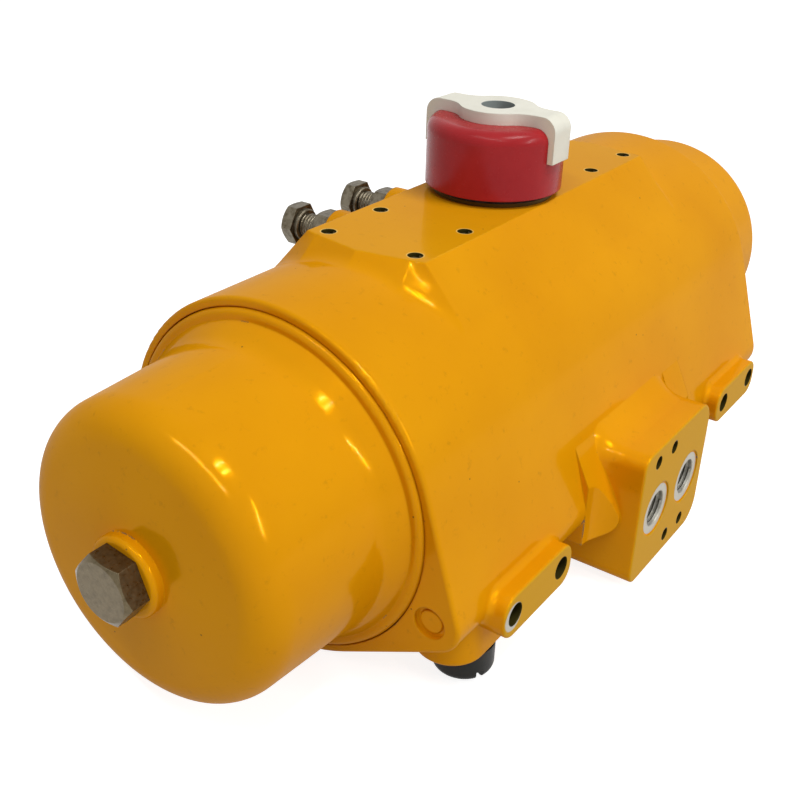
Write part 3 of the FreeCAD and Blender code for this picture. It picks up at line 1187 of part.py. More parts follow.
def stop_nut():
    """Lock nut of the front travel stop, tight against its boss."""
    x = -STOP_SPACING / 2
    nut = hexagon(STOP_ACROSS_FLATS, STOP_NUT_THICKNESS, True)
    nut.rotate(Vector(0, 0, 0), Vector(1, 0, 0), -90)
    nut.translate(Vector(x, STOP_BOSS_FACE, STOP_HEIGHT))
    outer_face = STOP_BOSS_FACE + STOP_NUT_THICKNESS
    thread = STOP_BOLT_RADIUS + STOP_THREAD_CLEARANCE
    return nut.cut(cylinder_y(thread, STOP_BOSS_FACE - CUT, outer_face + CUT, x, STOP_HEIGHT))


def beside(shape):
    """The same piece at the second travel stop."""
    copy = shape.copy()
    copy.translate(Vector(STOP_SPACING, 0, 0))
    return copy


def cup_form(radius, low, top, edge_round):
    """Upright cylinder with its top edge rounded."""
    form = cylinder_z(radius, low, top)
    rim = [edge for edge in form.Edges if abs(edge.CenterOfMass.z - top) < 0.01]
    return form.makeFillet(edge_round, rim)


def spigot_outline(low, high, clearance):
    half = SPIGOT_FLATS / 2 + clearance
    reach = SPIGOT_RADIUS + CUT
    bar = cylinder_z(SPIGOT_RADIUS + clearance, low, high)
    return bar.common(box(-half, half, -reach, reach, low, high))


def indicator_cup():
    """Upturned cup on the pinion's spigot, held by the screw through its hub."""
    ceiling = CUP_TOP - CUP_WALL
    shell = cup_form(CUP_RADIUS, CUP_BOTTOM, CUP_TOP, CUP_ROUND)
    hollow = cup_form(CUP_RADIUS - CUP_WALL, CUP_BOTTOM - CUT, ceiling, CUP_ROUND - CUP_WALL)
    hub = cylinder_z(CUP_HUB_RADIUS, SHOULDER_HEIGHT, CUP_TOP - CUP_WALL / 2)
    solid = shell.cut(hollow).fuse(hub)
    socket = spigot_outline(SHOULDER_HEIGHT - CUT, SPIGOT_TOP + CUP_FIT, CUP_FIT)
    screw_hole = cylinder_z(SCREW_RADIUS + SEAT_CLEARANCE, SPIGOT_TOP, SCREW_SEAT + CUT)
    counterbore = cylinder_z(POINTER_HOLE, SCREW_SEAT, CUP_TOP + CUT)
    return solid.cut([socket, screw_hole, counterbore])


def indicator_pointer():
    """Strip folded down over both sides of the cup, wider about the screw hole."""
    outer = CUP_RADIUS + POINTER_ARM_PROUD
    arm_low = POINTER_TOP - POINTER_ARM_DROP
    middle = cylinder_z(POINTER_MIDDLE_RADIUS, arm_low, POINTER_TOP)
    arms = box(-POINTER_ARM_HALF_WIDTH, POINTER_ARM_HALF_WIDTH, -outer, outer, arm_low, POINTER_TOP)
    plan = fuse_all(middle, [arms])
    necks = []
    for edge in plan.Edges:
        centre = edge.CenterOfMass
        upright = abs(edge.tangentAt(edge.FirstParameter).z) > 0.99
        if upright and math.hypot(centre.x, centre.y) < POINTER_MIDDLE_RADIUS + 0.01:
            if abs(abs(centre.x) - POINTER_ARM_HALF_WIDTH) < 0.01:
                necks.append(edge)
    plan = plan.makeFillet(POINTER_NECK_ROUND, necks)
    reach = POINTER_MIDDLE_RADIUS + CUT
    fold = box(-reach, reach, -outer, outer, arm_low - CUT, POINTER_TOP)
    bends = []
    for edge in fold.Edges:
        centre = edge.CenterOfMass
        if abs(centre.z - POINTER_TOP) < 0.01 and abs(abs(centre.y) - outer) < 0.01:
            bends.append(edge)
    fold = fold.makeFillet(POINTER_BEND, bends)
    strip = plan.common(fold)
    inside = cup_form(CUP_RADIUS, CUP_BOTTOM, CUP_TOP, CUP_ROUND)
    return strip.cut([inside, cylinder_z(POINTER_HOLE, arm_low, POINTER_TOP + CUT)])


def indicator_screw():
    """Socket-head screw that clamps the cup to the pinion."""
    head = cylinder_z(SCREW_HEAD_RADIUS, SCREW_SEAT, SCREW_HEAD_TOP)
    rim = [edge for edge in head.Edges if abs(edge.CenterOfMass.z - SCREW_HEAD_TOP) < 0.01]
    head = head.makeChamfer(SCREW_HEAD_CHAMFER, rim)
    shank = cylinder_z(SCREW_RADIUS, SCREW_SEAT - SCREW_LENGTH, SCREW_SEAT)
    recess = hexagon(2 * SCREW_HEX, SCREW_HEX_DEPTH + CUT, False)
    recess.translate(Vector(0, 0, SCREW_HEAD_TOP - SCREW_HEX_DEPTH))
    return head.fuse(shank).cut(recess)


def export(name, shape):
    shape.exportStep("parts/" + name + ".step")


def main():
    os.makedirs("parts", exist_ok=True)
    both_ends = {
        "end_cap": end_cap(),
        "cap_seal": cap_seal(),
        "cap_key": cap_key(),
        "key_plug": key_plug(),
        "cap_bolt": cap_bolt(),
        "bolt_seal": bolt_seal(),
        "cartridge_nut": cartridge_nut(),
        "spring_plate": spring_plate(),
        "spring_outer": coil_spring(SPRING_MEAN_RADIUS, SPRING_WIRE, SPRING_TURNS),
        "spring_inner": coil_spring(INNER_SPRING_MEAN_RADIUS, INNER_SPRING_WIRE, INNER_SPRING_TURNS),
        "piston": piston(),
        "piston_seal": piston_seal(),
        "piston_band": piston_band(),
        "rack_guide": rack_guide(),
    }
    for name, shape in both_ends.items():
        export(name + "_front", shape)
        export(name + "_rear", half_turn(shape))
    for name, shape in {"stop_bolt": stop_bolt(), "stop_nut": stop_nut()}.items():
        export(name + "_front", shape)
        export(name + "_rear", beside(shape))
    single = {
        "housing": housing(),
        "channel_plugs": channel_plugs(),
        "pinion": pinion(),
        "stop_cam": stop_cam(),
        "lower_bush": lower_bush(),
        "lower_seal": lower_seal(),
        "upper_bush": upper_bush(),
        "upper_seal": upper_seal(),
        "top_washer": top_washer(),
        "circlip": circlip(),
        "indicator_cup": indicator_cup(),
        "indicator_pointer": indicator_pointer(),
        "indicator_screw": indicator_screw(),
    }
    for name, shape in single.items():
        export(name, shape)


main()
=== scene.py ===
import math

import bpy
from mathutils import Matrix, Vector


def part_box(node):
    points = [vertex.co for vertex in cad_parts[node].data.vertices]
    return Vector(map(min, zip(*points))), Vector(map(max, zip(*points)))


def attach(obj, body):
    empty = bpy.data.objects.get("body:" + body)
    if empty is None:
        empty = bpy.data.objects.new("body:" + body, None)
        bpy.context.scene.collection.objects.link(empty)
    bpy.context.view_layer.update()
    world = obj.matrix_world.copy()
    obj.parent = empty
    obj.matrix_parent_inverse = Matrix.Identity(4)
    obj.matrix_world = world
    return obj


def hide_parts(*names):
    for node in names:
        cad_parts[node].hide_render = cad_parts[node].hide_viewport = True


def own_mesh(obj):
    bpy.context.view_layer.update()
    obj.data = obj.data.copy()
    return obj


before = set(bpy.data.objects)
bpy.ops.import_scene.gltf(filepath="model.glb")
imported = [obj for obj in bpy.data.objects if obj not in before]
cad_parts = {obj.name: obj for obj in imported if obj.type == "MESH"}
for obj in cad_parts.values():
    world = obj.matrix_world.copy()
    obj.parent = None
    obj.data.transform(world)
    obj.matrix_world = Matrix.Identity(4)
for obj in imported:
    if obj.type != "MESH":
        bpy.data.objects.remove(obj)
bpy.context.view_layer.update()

# The scene is in metres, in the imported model's frame: X along the cylinder, Z up the pinion, ports at -Y.
MM = 0.001

# Camera solved from the photograph
CAMERA_PLACE = Vector((-0.29833, -0.17229, 0.21839))
CAMERA_FORWARD = Vector((0.72549, 0.50012, -0.47280))
CAMERA_UP = Vector((0.37138, 0.29389, 0.88074))
FOCAL_PIXELS = 1101.0
FRAME_PIXELS = 800.0
SENSOR_WIDTH = 36.0
NEAR_CLIP = 0.01

# Colours of the paint, of what shows through it, and of the painted reflection, highlight and shade on it,
# as linear light
YELLOW = (0.79, 0.335, 0.002, 1)
YELLOW_DEEP = (0.72, 0.29, 0.0015, 1)
YELLOW_GRIME = (0.36, 0.14, 0.004, 1)
SPECK_BROWN = (0.10, 0.05, 0.01, 1)
CHIP_GREY = (0.10, 0.09, 0.075, 1)
# Tan of the milled faces: a painted reflection of bright surroundings
CUT_FACE_REFLECTION_TAN = (0.66, 0.34, 0.010, 1)
# Bright yellow on the lips of the pad's holes: a painted highlight
LIP_HIGHLIGHT = (0.90, 0.62, 0.16, 1)
# Near black inside the tapped holes and air ports: painted shade
HOLE_PAINTED_SHADE = (0.045, 0.036, 0.008, 1)
BARE_CASTING = (0.46, 0.44, 0.38, 1)

# Colours of plastics and rubber, each with its cloudier shade
CUP_RED = (0.42, 0.021, 0.025, 1)
CUP_SHADE = (0.36, 0.016, 0.020, 1)
POINTER_WHITE = (0.84, 0.82, 0.71, 1)
POINTER_SHADE = (0.76, 0.74, 0.63, 1)
DISH_GREY = (0.30, 0.34, 0.33, 1)
BLACK = (0.018, 0.018, 0.016, 1)
BLACK_SHADE = (0.03, 0.03, 0.026, 1)
# Brown of the top washer: a painted shadow, the colour of shaded yellow paint in the gap under the cup
WASHER_SHADOW_BROWN = (0.10, 0.055, 0.008, 1)
WASHER_SHADE = (0.07, 0.04, 0.006, 1)
SLIDE_GREY = (0.05, 0.05, 0.055, 1)
RUBBER = (0.02, 0.02, 0.02, 1)
RUBBER_SHADE = (0.03, 0.03, 0.03, 1)

# Colours of metals, each with its stain
STAINLESS = (0.14, 0.11, 0.065, 1)
STAINLESS_STAIN = (0.10, 0.078, 0.045, 1)
STOP_STEEL = (0.19, 0.165, 0.12, 1)
STOP_STAIN = (0.09, 0.072, 0.045, 1)
ZINC = (0.5, 0.5, 0.5, 1)
ZINC_STAIN = (0.38, 0.37, 0.35, 1)
DARK_STEEL = (0.16, 0.15, 0.14, 1)
DARK_STAIN = (0.08, 0.08, 0.08, 1)
ALUMINIUM = (0.62, 0.61, 0.58, 1)
ALUMINIUM_STAIN = (0.5, 0.5, 0.48, 1)
PORT_METAL = (0.27, 0.26, 0.23, 1)
PORT_STAIN = (0.16, 0.15, 0.12, 1)
HOLE_METAL = (0.10, 0.075, 0.035, 1)
HOLE_STAIN = (0.05, 0.04, 0.02, 1)

# Tapped holes and faces of the casting, in millimetres as on the model
PAD_HOLES = ((65.0, 15.0), (40.0, 15.0))
PAD_HOLE_RADIUS = 2.1
PAD_TOP = 112.0
LUG_HOLES = (62.9, 88.65)
LUG_HOLE_HEIGHT = 30.0
LUG_HOLE_RADIUS = 3.4
LUG_FACE = 67.3
PORT_SPACING = 12.0
PORT_HEIGHT = 26.0
PORT_FACE = 74.4
PORT_BORE = 6.0
PORT_SEAT = 8.4
SCREW_HOLES = ((-10.0, 44.9), (6.0, 9.7))
SCREW_HOLE_SPACING = 6.0
BLOCK_TOP = 50.0
POINTER_HOLE = 5.2

# Places past which only the pad, the lugs or the block lie, in millimetres
PAD_ZONE = 100.0
LUG_ZONE = 56.0
LUG_ZONE_ALONG = 50.0
BLOCK_ZONE = -60.0

# Margins and depths of the masks, in millimetres, and their strengths
MASK_SOFTNESS = 0.05
HOLE_MARGIN = 0.12
PORT_INSET = 0.3
SEAT_MARGIN = 0.15
DISH_MARGIN = 0.05
PAD_SKIN = 0.15
FACE_SKIN = 0.25
PAD_CUT_SHARE = 0.25
LIP_WIDTH = 0.45
LIP_SOFTNESS = 0.15
LIP_HIGHLIGHT_SHARE = 0.7
SCRAPE_SHIFT = 0.9
SCRAPE_DROP = 0.3
SCRAPE_WIDTH = 0.9
SCRAPE_SOFTNESS = 0.2
SCRAPE_DEPTH = 0.5
BLOCK_EDGE_DEPTH = 2.0
BLOCK_EDGE_DROP = 2.5
BLOCK_EDGE_SOFTNESS = 1.0

# Paint: noise scales per millimetre, and the values between which each effect sets in
PATCH_SCALE = 0.02
PATCH_RANGE = (0.35, 0.7)
GRIME_SCALE = 0.35
GRIME_RANGE = (0.60, 0.74)
GRIME_SHARE = 0.30
SPECK_SCALE = 0.16
SPECK_REACH = (0.030, 0.050)
SPECK_SHARE = 0.8
SPECK_BUMP = 0.5
SPECK_HEIGHT = 0.15
CHOICE_SCALE = 0.11
CHOICE_RANGE = (0.54, 0.56)
WEAR_RADIUS = 0.9
WEAR_CORNER = (0.86, 0.95)
WEAR_SCALE = 0.09
WEAR_RANGE = (0.60, 0.63)
BLOCK_EDGE_WEAR = 0.11
SHEEN_SCALE = 0.5
SHEEN_RANGE = (0.3, 0.75)
SHEEN_ROUGHNESS = (0.10, 0.22)
PEEL_SCALE = 0.45
PEEL_BUMP = 0.08
PEEL_HEIGHT = 0.6
CUT_ROUGHNESS = 0.38
BARE_ROUGHNESS = 0.45
BARE_METALLIC = 0.6
CHIP_METALLIC = 0.7

# Metallic value of sound paint, which gives its reflection some of its own colour
TINTED_GLOSS = 0.10

# Plastic and metal: the same kinds of values
PLASTIC_CLOUD_SCALE = 0.08
PLASTIC_CLOUD_RANGE = (0.35, 0.7)
PLASTIC_ROUGH_SCALE = 0.6
PLASTIC_ROUGH_SPREAD = (-0.05, 0.08)
PLASTIC_GRAIN_SCALE = 1.2
PLASTIC_GRAIN_BUMP = 0.06
PLASTIC_GRAIN_HEIGHT = 0.3
METAL_CLOUD_SCALE = 0.5
METAL_CLOUD_RANGE = (0.42, 0.66)
METAL_ROUGH_SCALE = 1.2
METAL_ROUGH_SPREAD = (-0.08, 0.12)
METAL_PIT_SCALE = 2.2
METAL_PIT_HEIGHT = 0.12
ROUGH_RANGE = (0.3, 0.7)

# Screw threads and the collars under the stops' heads, in millimetres
THREAD_STEPS = 24
THREAD_HALF_FOOT = 0.48
THREAD_OVERLAP = 0.08
STOP_PITCH = 1.25
STOP_SHANK = 4.0
STOP_HEAD = 4.8
STOP_THREAD_GAP = 0.6
STOP_THREAD_HEIGHT = 0.35
COLLAR_RADIUS = 5.6
COLLAR_LENGTH = 1.7
COLLAR_CHAMFER = 0.4
COLLAR_STEPS = 48
PORT_PITCH = 1.337
PORT_THREAD_SINK = 1.2
PORT_THREAD_LENGTH = 12.0
PORT_THREAD_HEIGHT = -0.55
FINE_PITCH = 0.8
PAD_THREAD_SINK = 0.9
PAD_THREAD_LENGTH = 6.0
PAD_THREAD_HEIGHT = -0.3
PAD_THREAD_STEPS = 16

# Angle in degrees over which an edge between two faces stays sharp
SHARP_ANGLE = 30

# Floor and surroundings
FLOOR_SIZE = 24.0
FLOOR_GREY = (0.52, 0.52, 0.52, 1)
FLOOR_GLOW = 0.86
WHITE = (1, 1, 1, 1)
WORLD_LEVEL = 0.24

# Long narrow lamps: name, start, end, width in metres and power in watts
LAMP_TARGET = Vector((0, 0, 0.05))
LAMPS = (
    ("top_light_near", (-0.45, -0.97, 2.05), (0.55, -0.97, 2.05), 0.03, 10),
    ("top_light_far", (-0.45, -0.73, 2.05), (0.55, -0.73, 2.05), 0.03, 10),
    ("side_light", (0.45, -1.6, 1.45), (-0.2, -2.05, 0.8), 0.03, 11),
    ("rear_light", (-0.87, 0.42, 1.72), (-1.05, -1.05, 1.45), 0.025, 8),
)

# Places of the colour sockets of a mix node
MIX_INPUTS = (6, 7)
MIX_OUTPUT = 2


class Nodes:
    """Short way to write a node tree."""

    def __init__(self, name):
        self.material = bpy.data.materials.new(name)
        self.material.use_nodes = True
        self.tree = self.material.node_tree
        self.tree.nodes.clear()
        self.output = self.tree.nodes.new("ShaderNodeOutputMaterial")
        self.shader = self.tree.nodes.new("ShaderNodeBsdfPrincipled")
        self.join(self.shader.outputs["BSDF"], self.output.inputs["Surface"])

    def new(self, kind, **values):
        node = self.tree.nodes.new("ShaderNode" + kind)
        for key, value in values.items():
            setattr(node, key, value)
        return node

    def join(self, out_socket, in_socket):
        self.tree.links.new(out_socket, in_socket)

    def fill(self, socket, value):
        """A socket takes a plain value or the output of another node."""
        if isinstance(value, (int, float, tuple)):
            socket.default_value = value
        else:
            self.join(value, socket)

    def place(self):
        """Object coordinates in millimetres."""
        coordinates = self.new("TexCoord")
        mapping = self.new("Mapping")
        mapping.inputs["Scale"].default_value = (1 / MM,) * 3
        self.join(coordinates.outputs["Object"], mapping.inputs["Vector"])
        return mapping.outputs["Vector"]

    def noise(self, scale, detail=3.0, rough=0.5):
        node = self.new("TexNoise")
        node.inputs["Scale"].default_value = scale
        node.inputs["Detail"].default_value = detail
        node.inputs["Roughness"].default_value = rough
        self.join(self.place(), node.inputs["Vector"])
        return node.outputs["Fac"]

    def ramp(self, source, low, high, low_value=0.0, high_value=1.0):
        node = self.new("MapRange")
        node.inputs["From Min"].default_value = low
        node.inputs["From Max"].default_value = high
        node.inputs["To Min"].default_value = low_value
        node.inputs["To Max"].default_value = high_value
        self.join(source, node.inputs["Value"])
        return node.outputs["Result"]

    def math(self, operation, first, second=0.0):
        node = self.new("Math", operation=operation)
        self.fill(node.inputs[0], first)
        self.fill(node.inputs[1], second)
        return node.outputs["Value"]

    def chain(self, operation, values):
        """One operation carried through a row of values."""
        result = values[0]
        for value in values[1:]:
            result = self.math(operation, result, value)
        return result

    def mix(self, factor, first, second):
        node = self.new("Mix", data_type="RGBA")
        self.join(factor, node.inputs["Factor"])
        for index, value in zip(MIX_INPUTS, (first, second)):
            self.fill(node.inputs[index], value)
        return node.outputs[MIX_OUTPUT]

    def bump(self, height, strength, distance_mm, normal):
        node = self.new("Bump")
        node.inputs["Strength"].default_value = strength
        node.inputs["Distance"].default_value = distance_mm * MM
        self.join(height, node.inputs["Height"])
        self.join(normal, node.inputs["Normal"])
        return node.outputs["Normal"]

    def rounded(self, radius_mm, samples=8):
        """Normal that rounds sharp edges off."""
        node = self.new("Bevel", samples=samples)
        node.inputs["Radius"].default_value = radius_mm * MM
        return node.outputs["Normal"]

    def edge(self, radius_mm):
        """1 on the faces and less near sharp edges, from the rounded normal."""
        rounded = self.rounded(radius_mm, 6)
        plain = self.new("NewGeometry")
        dot = self.new("VectorMath", operation="DOT_PRODUCT")
        self.join(rounded, dot.inputs[0])
        self.join(plain.outputs["Normal"], dot.inputs[1])
        return dot.outputs["Value"]

    def axes(self):
        """The three object coordinates in millimetres."""
        node = self.new("SeparateXYZ")
        self.join(self.place(), node.inputs["Vector"])
        return node.outputs["X"], node.outputs["Y"], node.outputs["Z"]

    def away(self, first, first_at, second, second_at):
        """Distance in a plane from a point given by two coordinates."""
        across = self.math("SUBTRACT", first, first_at)
        along = self.math("SUBTRACT", second, second_at)
        squares = [self.math("MULTIPLY", side, side) for side in (across, along)]
        return self.math("SQRT", self.chain("ADD", squares))

    def within(self, value, limit, soft=MASK_SOFTNESS):
        """1 where a value is under its limit."""
        return self.ramp(value, limit - soft, limit + soft, 1.0, 0.0)

    def beyond(self, value, limit, soft=MASK_SOFTNESS):
        """1 where a value is over its limit."""
        return self.ramp(value, limit - soft, limit + soft)

    def set(self, **values):
        for key, value in values.items():
            self.shader.inputs[key.replace("_", " ")].default_value = value

    def drive(self, socket, source):
        self.join(source, self.shader.inputs[socket])


def tapped_holes(n):
    """Masks of the tapped holes and air ports, which are painted dark as shade, of bare metal, and of the
    painted highlight on the lips of the pad's holes.
    """
    x, y, z = n.axes()
    wide = n.math("ABSOLUTE", x)
    deep = n.math("ABSOLUTE", y)
    pad = n.chain("MINIMUM", [n.away(wide, at_x, deep, at_y) for at_x, at_y in PAD_HOLES])
    on_pad = n.math("MULTIPLY", n.within(pad, PAD_HOLE_RADIUS + HOLE_MARGIN), n.beyond(z, PAD_ZONE))
    lug = n.chain("MINIMUM", [n.away(wide, at_x, z, LUG_HOLE_HEIGHT) for at_x in LUG_HOLES])
    on_lug = n.math("MULTIPLY", n.within(lug, LUG_HOLE_RADIUS + HOLE_MARGIN), n.beyond(deep, LUG_ZONE))
    at_block = n.within(y, BLOCK_ZONE)
    screws = []
    for at_x, at_z in SCREW_HOLES:
        from_pair = n.math("ABSOLUTE", n.math("SUBTRACT", x, at_x))
        screws.append(n.away(from_pair, SCREW_HOLE_SPACING, z, at_z))
    screw = n.chain("MINIMUM", screws)
    on_screw = n.math("MULTIPLY", n.within(screw, PAD_HOLE_RADIUS + HOLE_MARGIN), at_block)
    port = n.away(wide, PORT_SPACING, z, PORT_HEIGHT)
    in_port = n.math("MULTIPLY", n.within(port, PORT_BORE - PORT_INSET), at_block)
    # The inside of the tapped holes and the air ports is painted dark as shade
    shaded_holes = n.chain("MAXIMUM", [on_pad, on_lug, on_screw, in_port])
    seat = n.math("MULTIPLY", n.within(port, PORT_SEAT + SEAT_MARGIN), at_block)
    scraped = n.away(x, -LUG_HOLES[1] - SCRAPE_SHIFT, z, LUG_HOLE_HEIGHT - SCRAPE_DROP)
    scrape = n.within(scraped, LUG_HOLE_RADIUS + SCRAPE_WIDTH, SCRAPE_SOFTNESS)
    crescent = n.math("MULTIPLY", scrape, n.within(y, -LUG_FACE + SCRAPE_DEPTH))
    bare = n.math("MAXIMUM", seat, crescent)
    # Ring round each pad hole on the pad's top, where a highlight is painted
    ring = n.within(pad, PAD_HOLE_RADIUS + LIP_WIDTH, LIP_SOFTNESS)
    lip_highlight = n.math("MULTIPLY", ring, n.beyond(z, PAD_TOP - PAD_SKIN))
    return shaded_holes, bare, n.math("MULTIPLY", lip_highlight, LIP_HIGHLIGHT_SHARE)


def cut_faces(n):
    """Masks of the milled faces, which take a painted reflection and a rougher finish, and of the block's
    upper edge, where the paint is chipped.
    """
    x, y, z = n.axes()
    wide = n.math("ABSOLUTE", x)
    deep = n.math("ABSOLUTE", y)
    block = n.within(y, -PORT_FACE + FACE_SKIN)
    lugs = n.math("MULTIPLY", n.beyond(deep, LUG_FACE - FACE_SKIN), n.beyond(wide, LUG_ZONE_ALONG))
    pad = n.math("MULTIPLY", n.beyond(z, PAD_TOP - PAD_SKIN), PAD_CUT_SHARE)
    upper = n.beyond(z, BLOCK_TOP - BLOCK_EDGE_DROP, BLOCK_EDGE_SOFTNESS)
    edge = n.math("MULTIPLY", n.within(y, -PORT_FACE + BLOCK_EDGE_DEPTH), upper)
    return n.chain("MAXIMUM", [block, lugs, pad]), edge


def paint(name, corner_mm, machined):
    """Gloss paint on a casting: faint orange peel, patches, grime, dust specks and worn edges; on a
    machined casting also a painted reflection on the milled faces, a painted highlight on the lips of the
    pad's holes and painted shade in the tapped holes and air ports.
    """
    n = Nodes(name)
    n.set(Specular_IOR_Level=0.0, Coat_Weight=0.07, Coat_Roughness=0.015)
    patches = n.ramp(n.noise(PATCH_SCALE, 4.0), *PATCH_RANGE)
    colour = n.mix(patches, YELLOW, YELLOW_DEEP)
    grime = n.ramp(n.noise(GRIME_SCALE, 8.0, 0.65), *GRIME_RANGE, 0.0, GRIME_SHARE)
    colour = n.mix(grime, colour, YELLOW_GRIME)
    specks = n.new("TexVoronoi", feature="F1")
    specks.inputs["Scale"].default_value = SPECK_SCALE
    specks.inputs["Randomness"].default_value = 1.0
    n.join(n.place(), specks.inputs["Vector"])
    speck = n.ramp(specks.outputs["Distance"], *SPECK_REACH, 1.0, 0.0)
    chosen = n.ramp(n.noise(CHOICE_SCALE, 1.0), *CHOICE_RANGE)
    mark = n.math("MULTIPLY", speck, chosen)
    colour = n.mix(n.math("MULTIPLY", mark, SPECK_SHARE), colour, SPECK_BROWN)
    wear_edge = n.ramp(n.edge(WEAR_RADIUS), *WEAR_CORNER, 1.0, 0.0)
    wear_noise = n.noise(WEAR_SCALE, 6.0, 0.6)
    if machined:
        cut, chipped = cut_faces(n)
        # The milled faces are painted tan as a reflection of bright surroundings
        colour = n.mix(cut, colour, CUT_FACE_REFLECTION_TAN)
        wear_noise = n.math("ADD", wear_noise, n.math("MULTIPLY", chipped, BLOCK_EDGE_WEAR))
    wear = n.math("MULTIPLY", wear_edge, n.ramp(wear_noise, *WEAR_RANGE))
    colour = n.mix(wear, colour, CHIP_GREY)
    metallic = n.ramp(wear, 0.0, 1.0, TINTED_GLOSS, CHIP_METALLIC)
    rough = n.ramp(n.noise(SHEEN_SCALE, 5.0, 0.6), *SHEEN_RANGE, *SHEEN_ROUGHNESS)
    if machined:
        shaded_holes, bare, lip_highlight = tapped_holes(n)
        # Painted highlight on the lips of the pad's holes
        colour = n.mix(lip_highlight, colour, LIP_HIGHLIGHT)
        colour = n.mix(bare, colour, BARE_CASTING)
        # Painted shade inside the tapped holes and air ports
        colour = n.mix(shaded_holes, colour, HOLE_PAINTED_SHADE)
        metallic = n.math("MAXIMUM", metallic, n.math("MULTIPLY", bare, BARE_METALLIC))
        unpainted = n.math("MULTIPLY", n.math("MAXIMUM", bare, shaded_holes), BARE_ROUGHNESS)
        rough = n.chain("MAXIMUM", [rough, n.math("MULTIPLY", cut, CUT_ROUGHNESS), unpainted])
    n.drive("Base Color", colour)
    n.drive("Metallic", metallic)
    n.drive("Roughness", rough)
    peel = n.bump(n.noise(PEEL_SCALE, 2.0, 0.5), PEEL_BUMP, PEEL_HEIGHT, n.rounded(corner_mm))
    n.drive("Normal", n.bump(mark, SPECK_BUMP, SPECK_HEIGHT, peel))
    return n.material


def uneven(n, scale, rough, spread):
    """Roughness that varies about a middle value."""
    low, high = spread
    n.drive("Roughness", n.ramp(n.noise(scale, 6.0, 0.6), *ROUGH_RANGE, rough + low, rough + high))


def plastic(name, colour, shade, rough, corner_mm, dish=None):
    """Moulded plastic with faint clouds; dish is the radius of a greyer hole round the pinion's axis."""
    n = Nodes(name)
    n.set(Specular_IOR_Level=0.14)
    cloud = n.ramp(n.noise(PLASTIC_CLOUD_SCALE, 4.0), *PLASTIC_CLOUD_RANGE)
    surface = n.mix(cloud, colour, shade)
    if dish:
        x, y, _ = n.axes()
        surface = n.mix(n.within(n.away(x, 0.0, y, 0.0), dish + DISH_MARGIN), surface, DISH_GREY)
    n.drive("Base Color", surface)
    uneven(n, PLASTIC_ROUGH_SCALE, rough, PLASTIC_ROUGH_SPREAD)
    grain = n.noise(PLASTIC_GRAIN_SCALE, 2.0)
    n.drive("Normal", n.bump(grain, PLASTIC_GRAIN_BUMP, PLASTIC_GRAIN_HEIGHT, n.rounded(corner_mm)))
    return n.material


def metal(name, colour, stain, rough, corner_mm, pit=0.25):
    """Metal with stains and fine pits."""
    n = Nodes(name)
    n.set(Metallic=1.0)
    cloud = n.ramp(n.noise(METAL_CLOUD_SCALE, 7.0, 0.65), *METAL_CLOUD_RANGE)
    n.drive("Base Color", n.mix(cloud, colour, stain))
    uneven(n, METAL_ROUGH_SCALE, rough, METAL_ROUGH_SPREAD)
    pits = n.noise(METAL_PIT_SCALE, 5.0, 0.6)
    n.drive("Normal", n.bump(pits, pit, METAL_PIT_HEIGHT, n.rounded(corner_mm)))
    return n.material


def give(material, *nodes):
    for node in nodes:
        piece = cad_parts[node]
        piece.data.materials.clear()
        piece.data.materials.append(material)


def both(*names):
    return [name + end for name in names for end in ("_front", "_rear")]


def shade_by_angle(piece):
    """Smooth shading on curved faces, with the edges between faces kept sharp."""
    for polygon in piece.data.polygons:
        polygon.use_smooth = True
    piece.data.set_sharp_from_angle(angle=math.radians(SHARP_ANGLE))


def dress():
    give(paint("body_paint", 0.8, True), "housing")
    give(paint("cap_paint", 0.6, False), "channel_plugs", *both("end_cap"))
    give(plastic("cup_red", CUP_RED, CUP_SHADE, 0.22, 0.4), "indicator_cup")
    give(plastic("pointer_white", POINTER_WHITE, POINTER_SHADE, 0.42, 0.3, POINTER_HOLE),
         "indicator_pointer")
    give(plastic("black_plastic", BLACK, BLACK_SHADE, 0.45, 0.3), *both("key_plug"))
    # The top washer is painted the brown of shaded yellow paint, as the shadow in the gap under the cup
    give(plastic("washer_painted_shadow", WASHER_SHADOW_BROWN, WASHER_SHADE, 0.5, 0.2), "top_washer")
    give(plastic("slide_plastic", SLIDE_GREY, BLACK, 0.5, 0.2),
         *both("piston_band", "rack_guide"), "lower_bush", "upper_bush")
    give(plastic("seal_rubber", RUBBER, RUBBER_SHADE, 0.6, 0.2),
         *both("cap_seal", "bolt_seal", "piston_seal"), "lower_seal", "upper_seal")
    give(metal("cap_bolt_steel", STAINLESS, STAINLESS_STAIN, 0.32, 0.3, 0.12), *both("cap_bolt"))
    stop_steel = metal("stop_steel", STOP_STEEL, STOP_STAIN, 0.42, 0.4, 0.4)
    give(stop_steel, *both("stop_bolt", "stop_nut"), "indicator_screw")
    give(metal("zinc_steel", ZINC, ZINC_STAIN, 0.3, 0.1),
         *both("cartridge_nut"), "stop_cam", "circlip", "pinion")
    give(metal("spring_steel", DARK_STEEL, DARK_STAIN, 0.4, 0.1),
         *both("cap_key", "spring_outer", "spring_inner"))
    give(metal("plain_aluminium", ALUMINIUM, ALUMINIUM_STAIN, 0.4, 0.2),
         *both("piston", "spring_plate"))
    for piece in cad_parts.values():
        shade_by_angle(piece)
    add_threads(stop_steel)


def make_piece(name, points, faces):
    mesh = bpy.data.meshes.new(name)
    mesh.from_pydata(points, [], faces)
    piece = bpy.data.objects.new(name, mesh)
    bpy.context.scene.collection.objects.link(piece)
    return piece


def band(first, following, corners):
    """Faces between two rows of corners, each row closed on itself."""
    faces = []
    for corner in range(corners):
        beside = (corner + 1) % corners
        faces.append((first + corner, first + beside, following + beside, following + corner))
    return faces


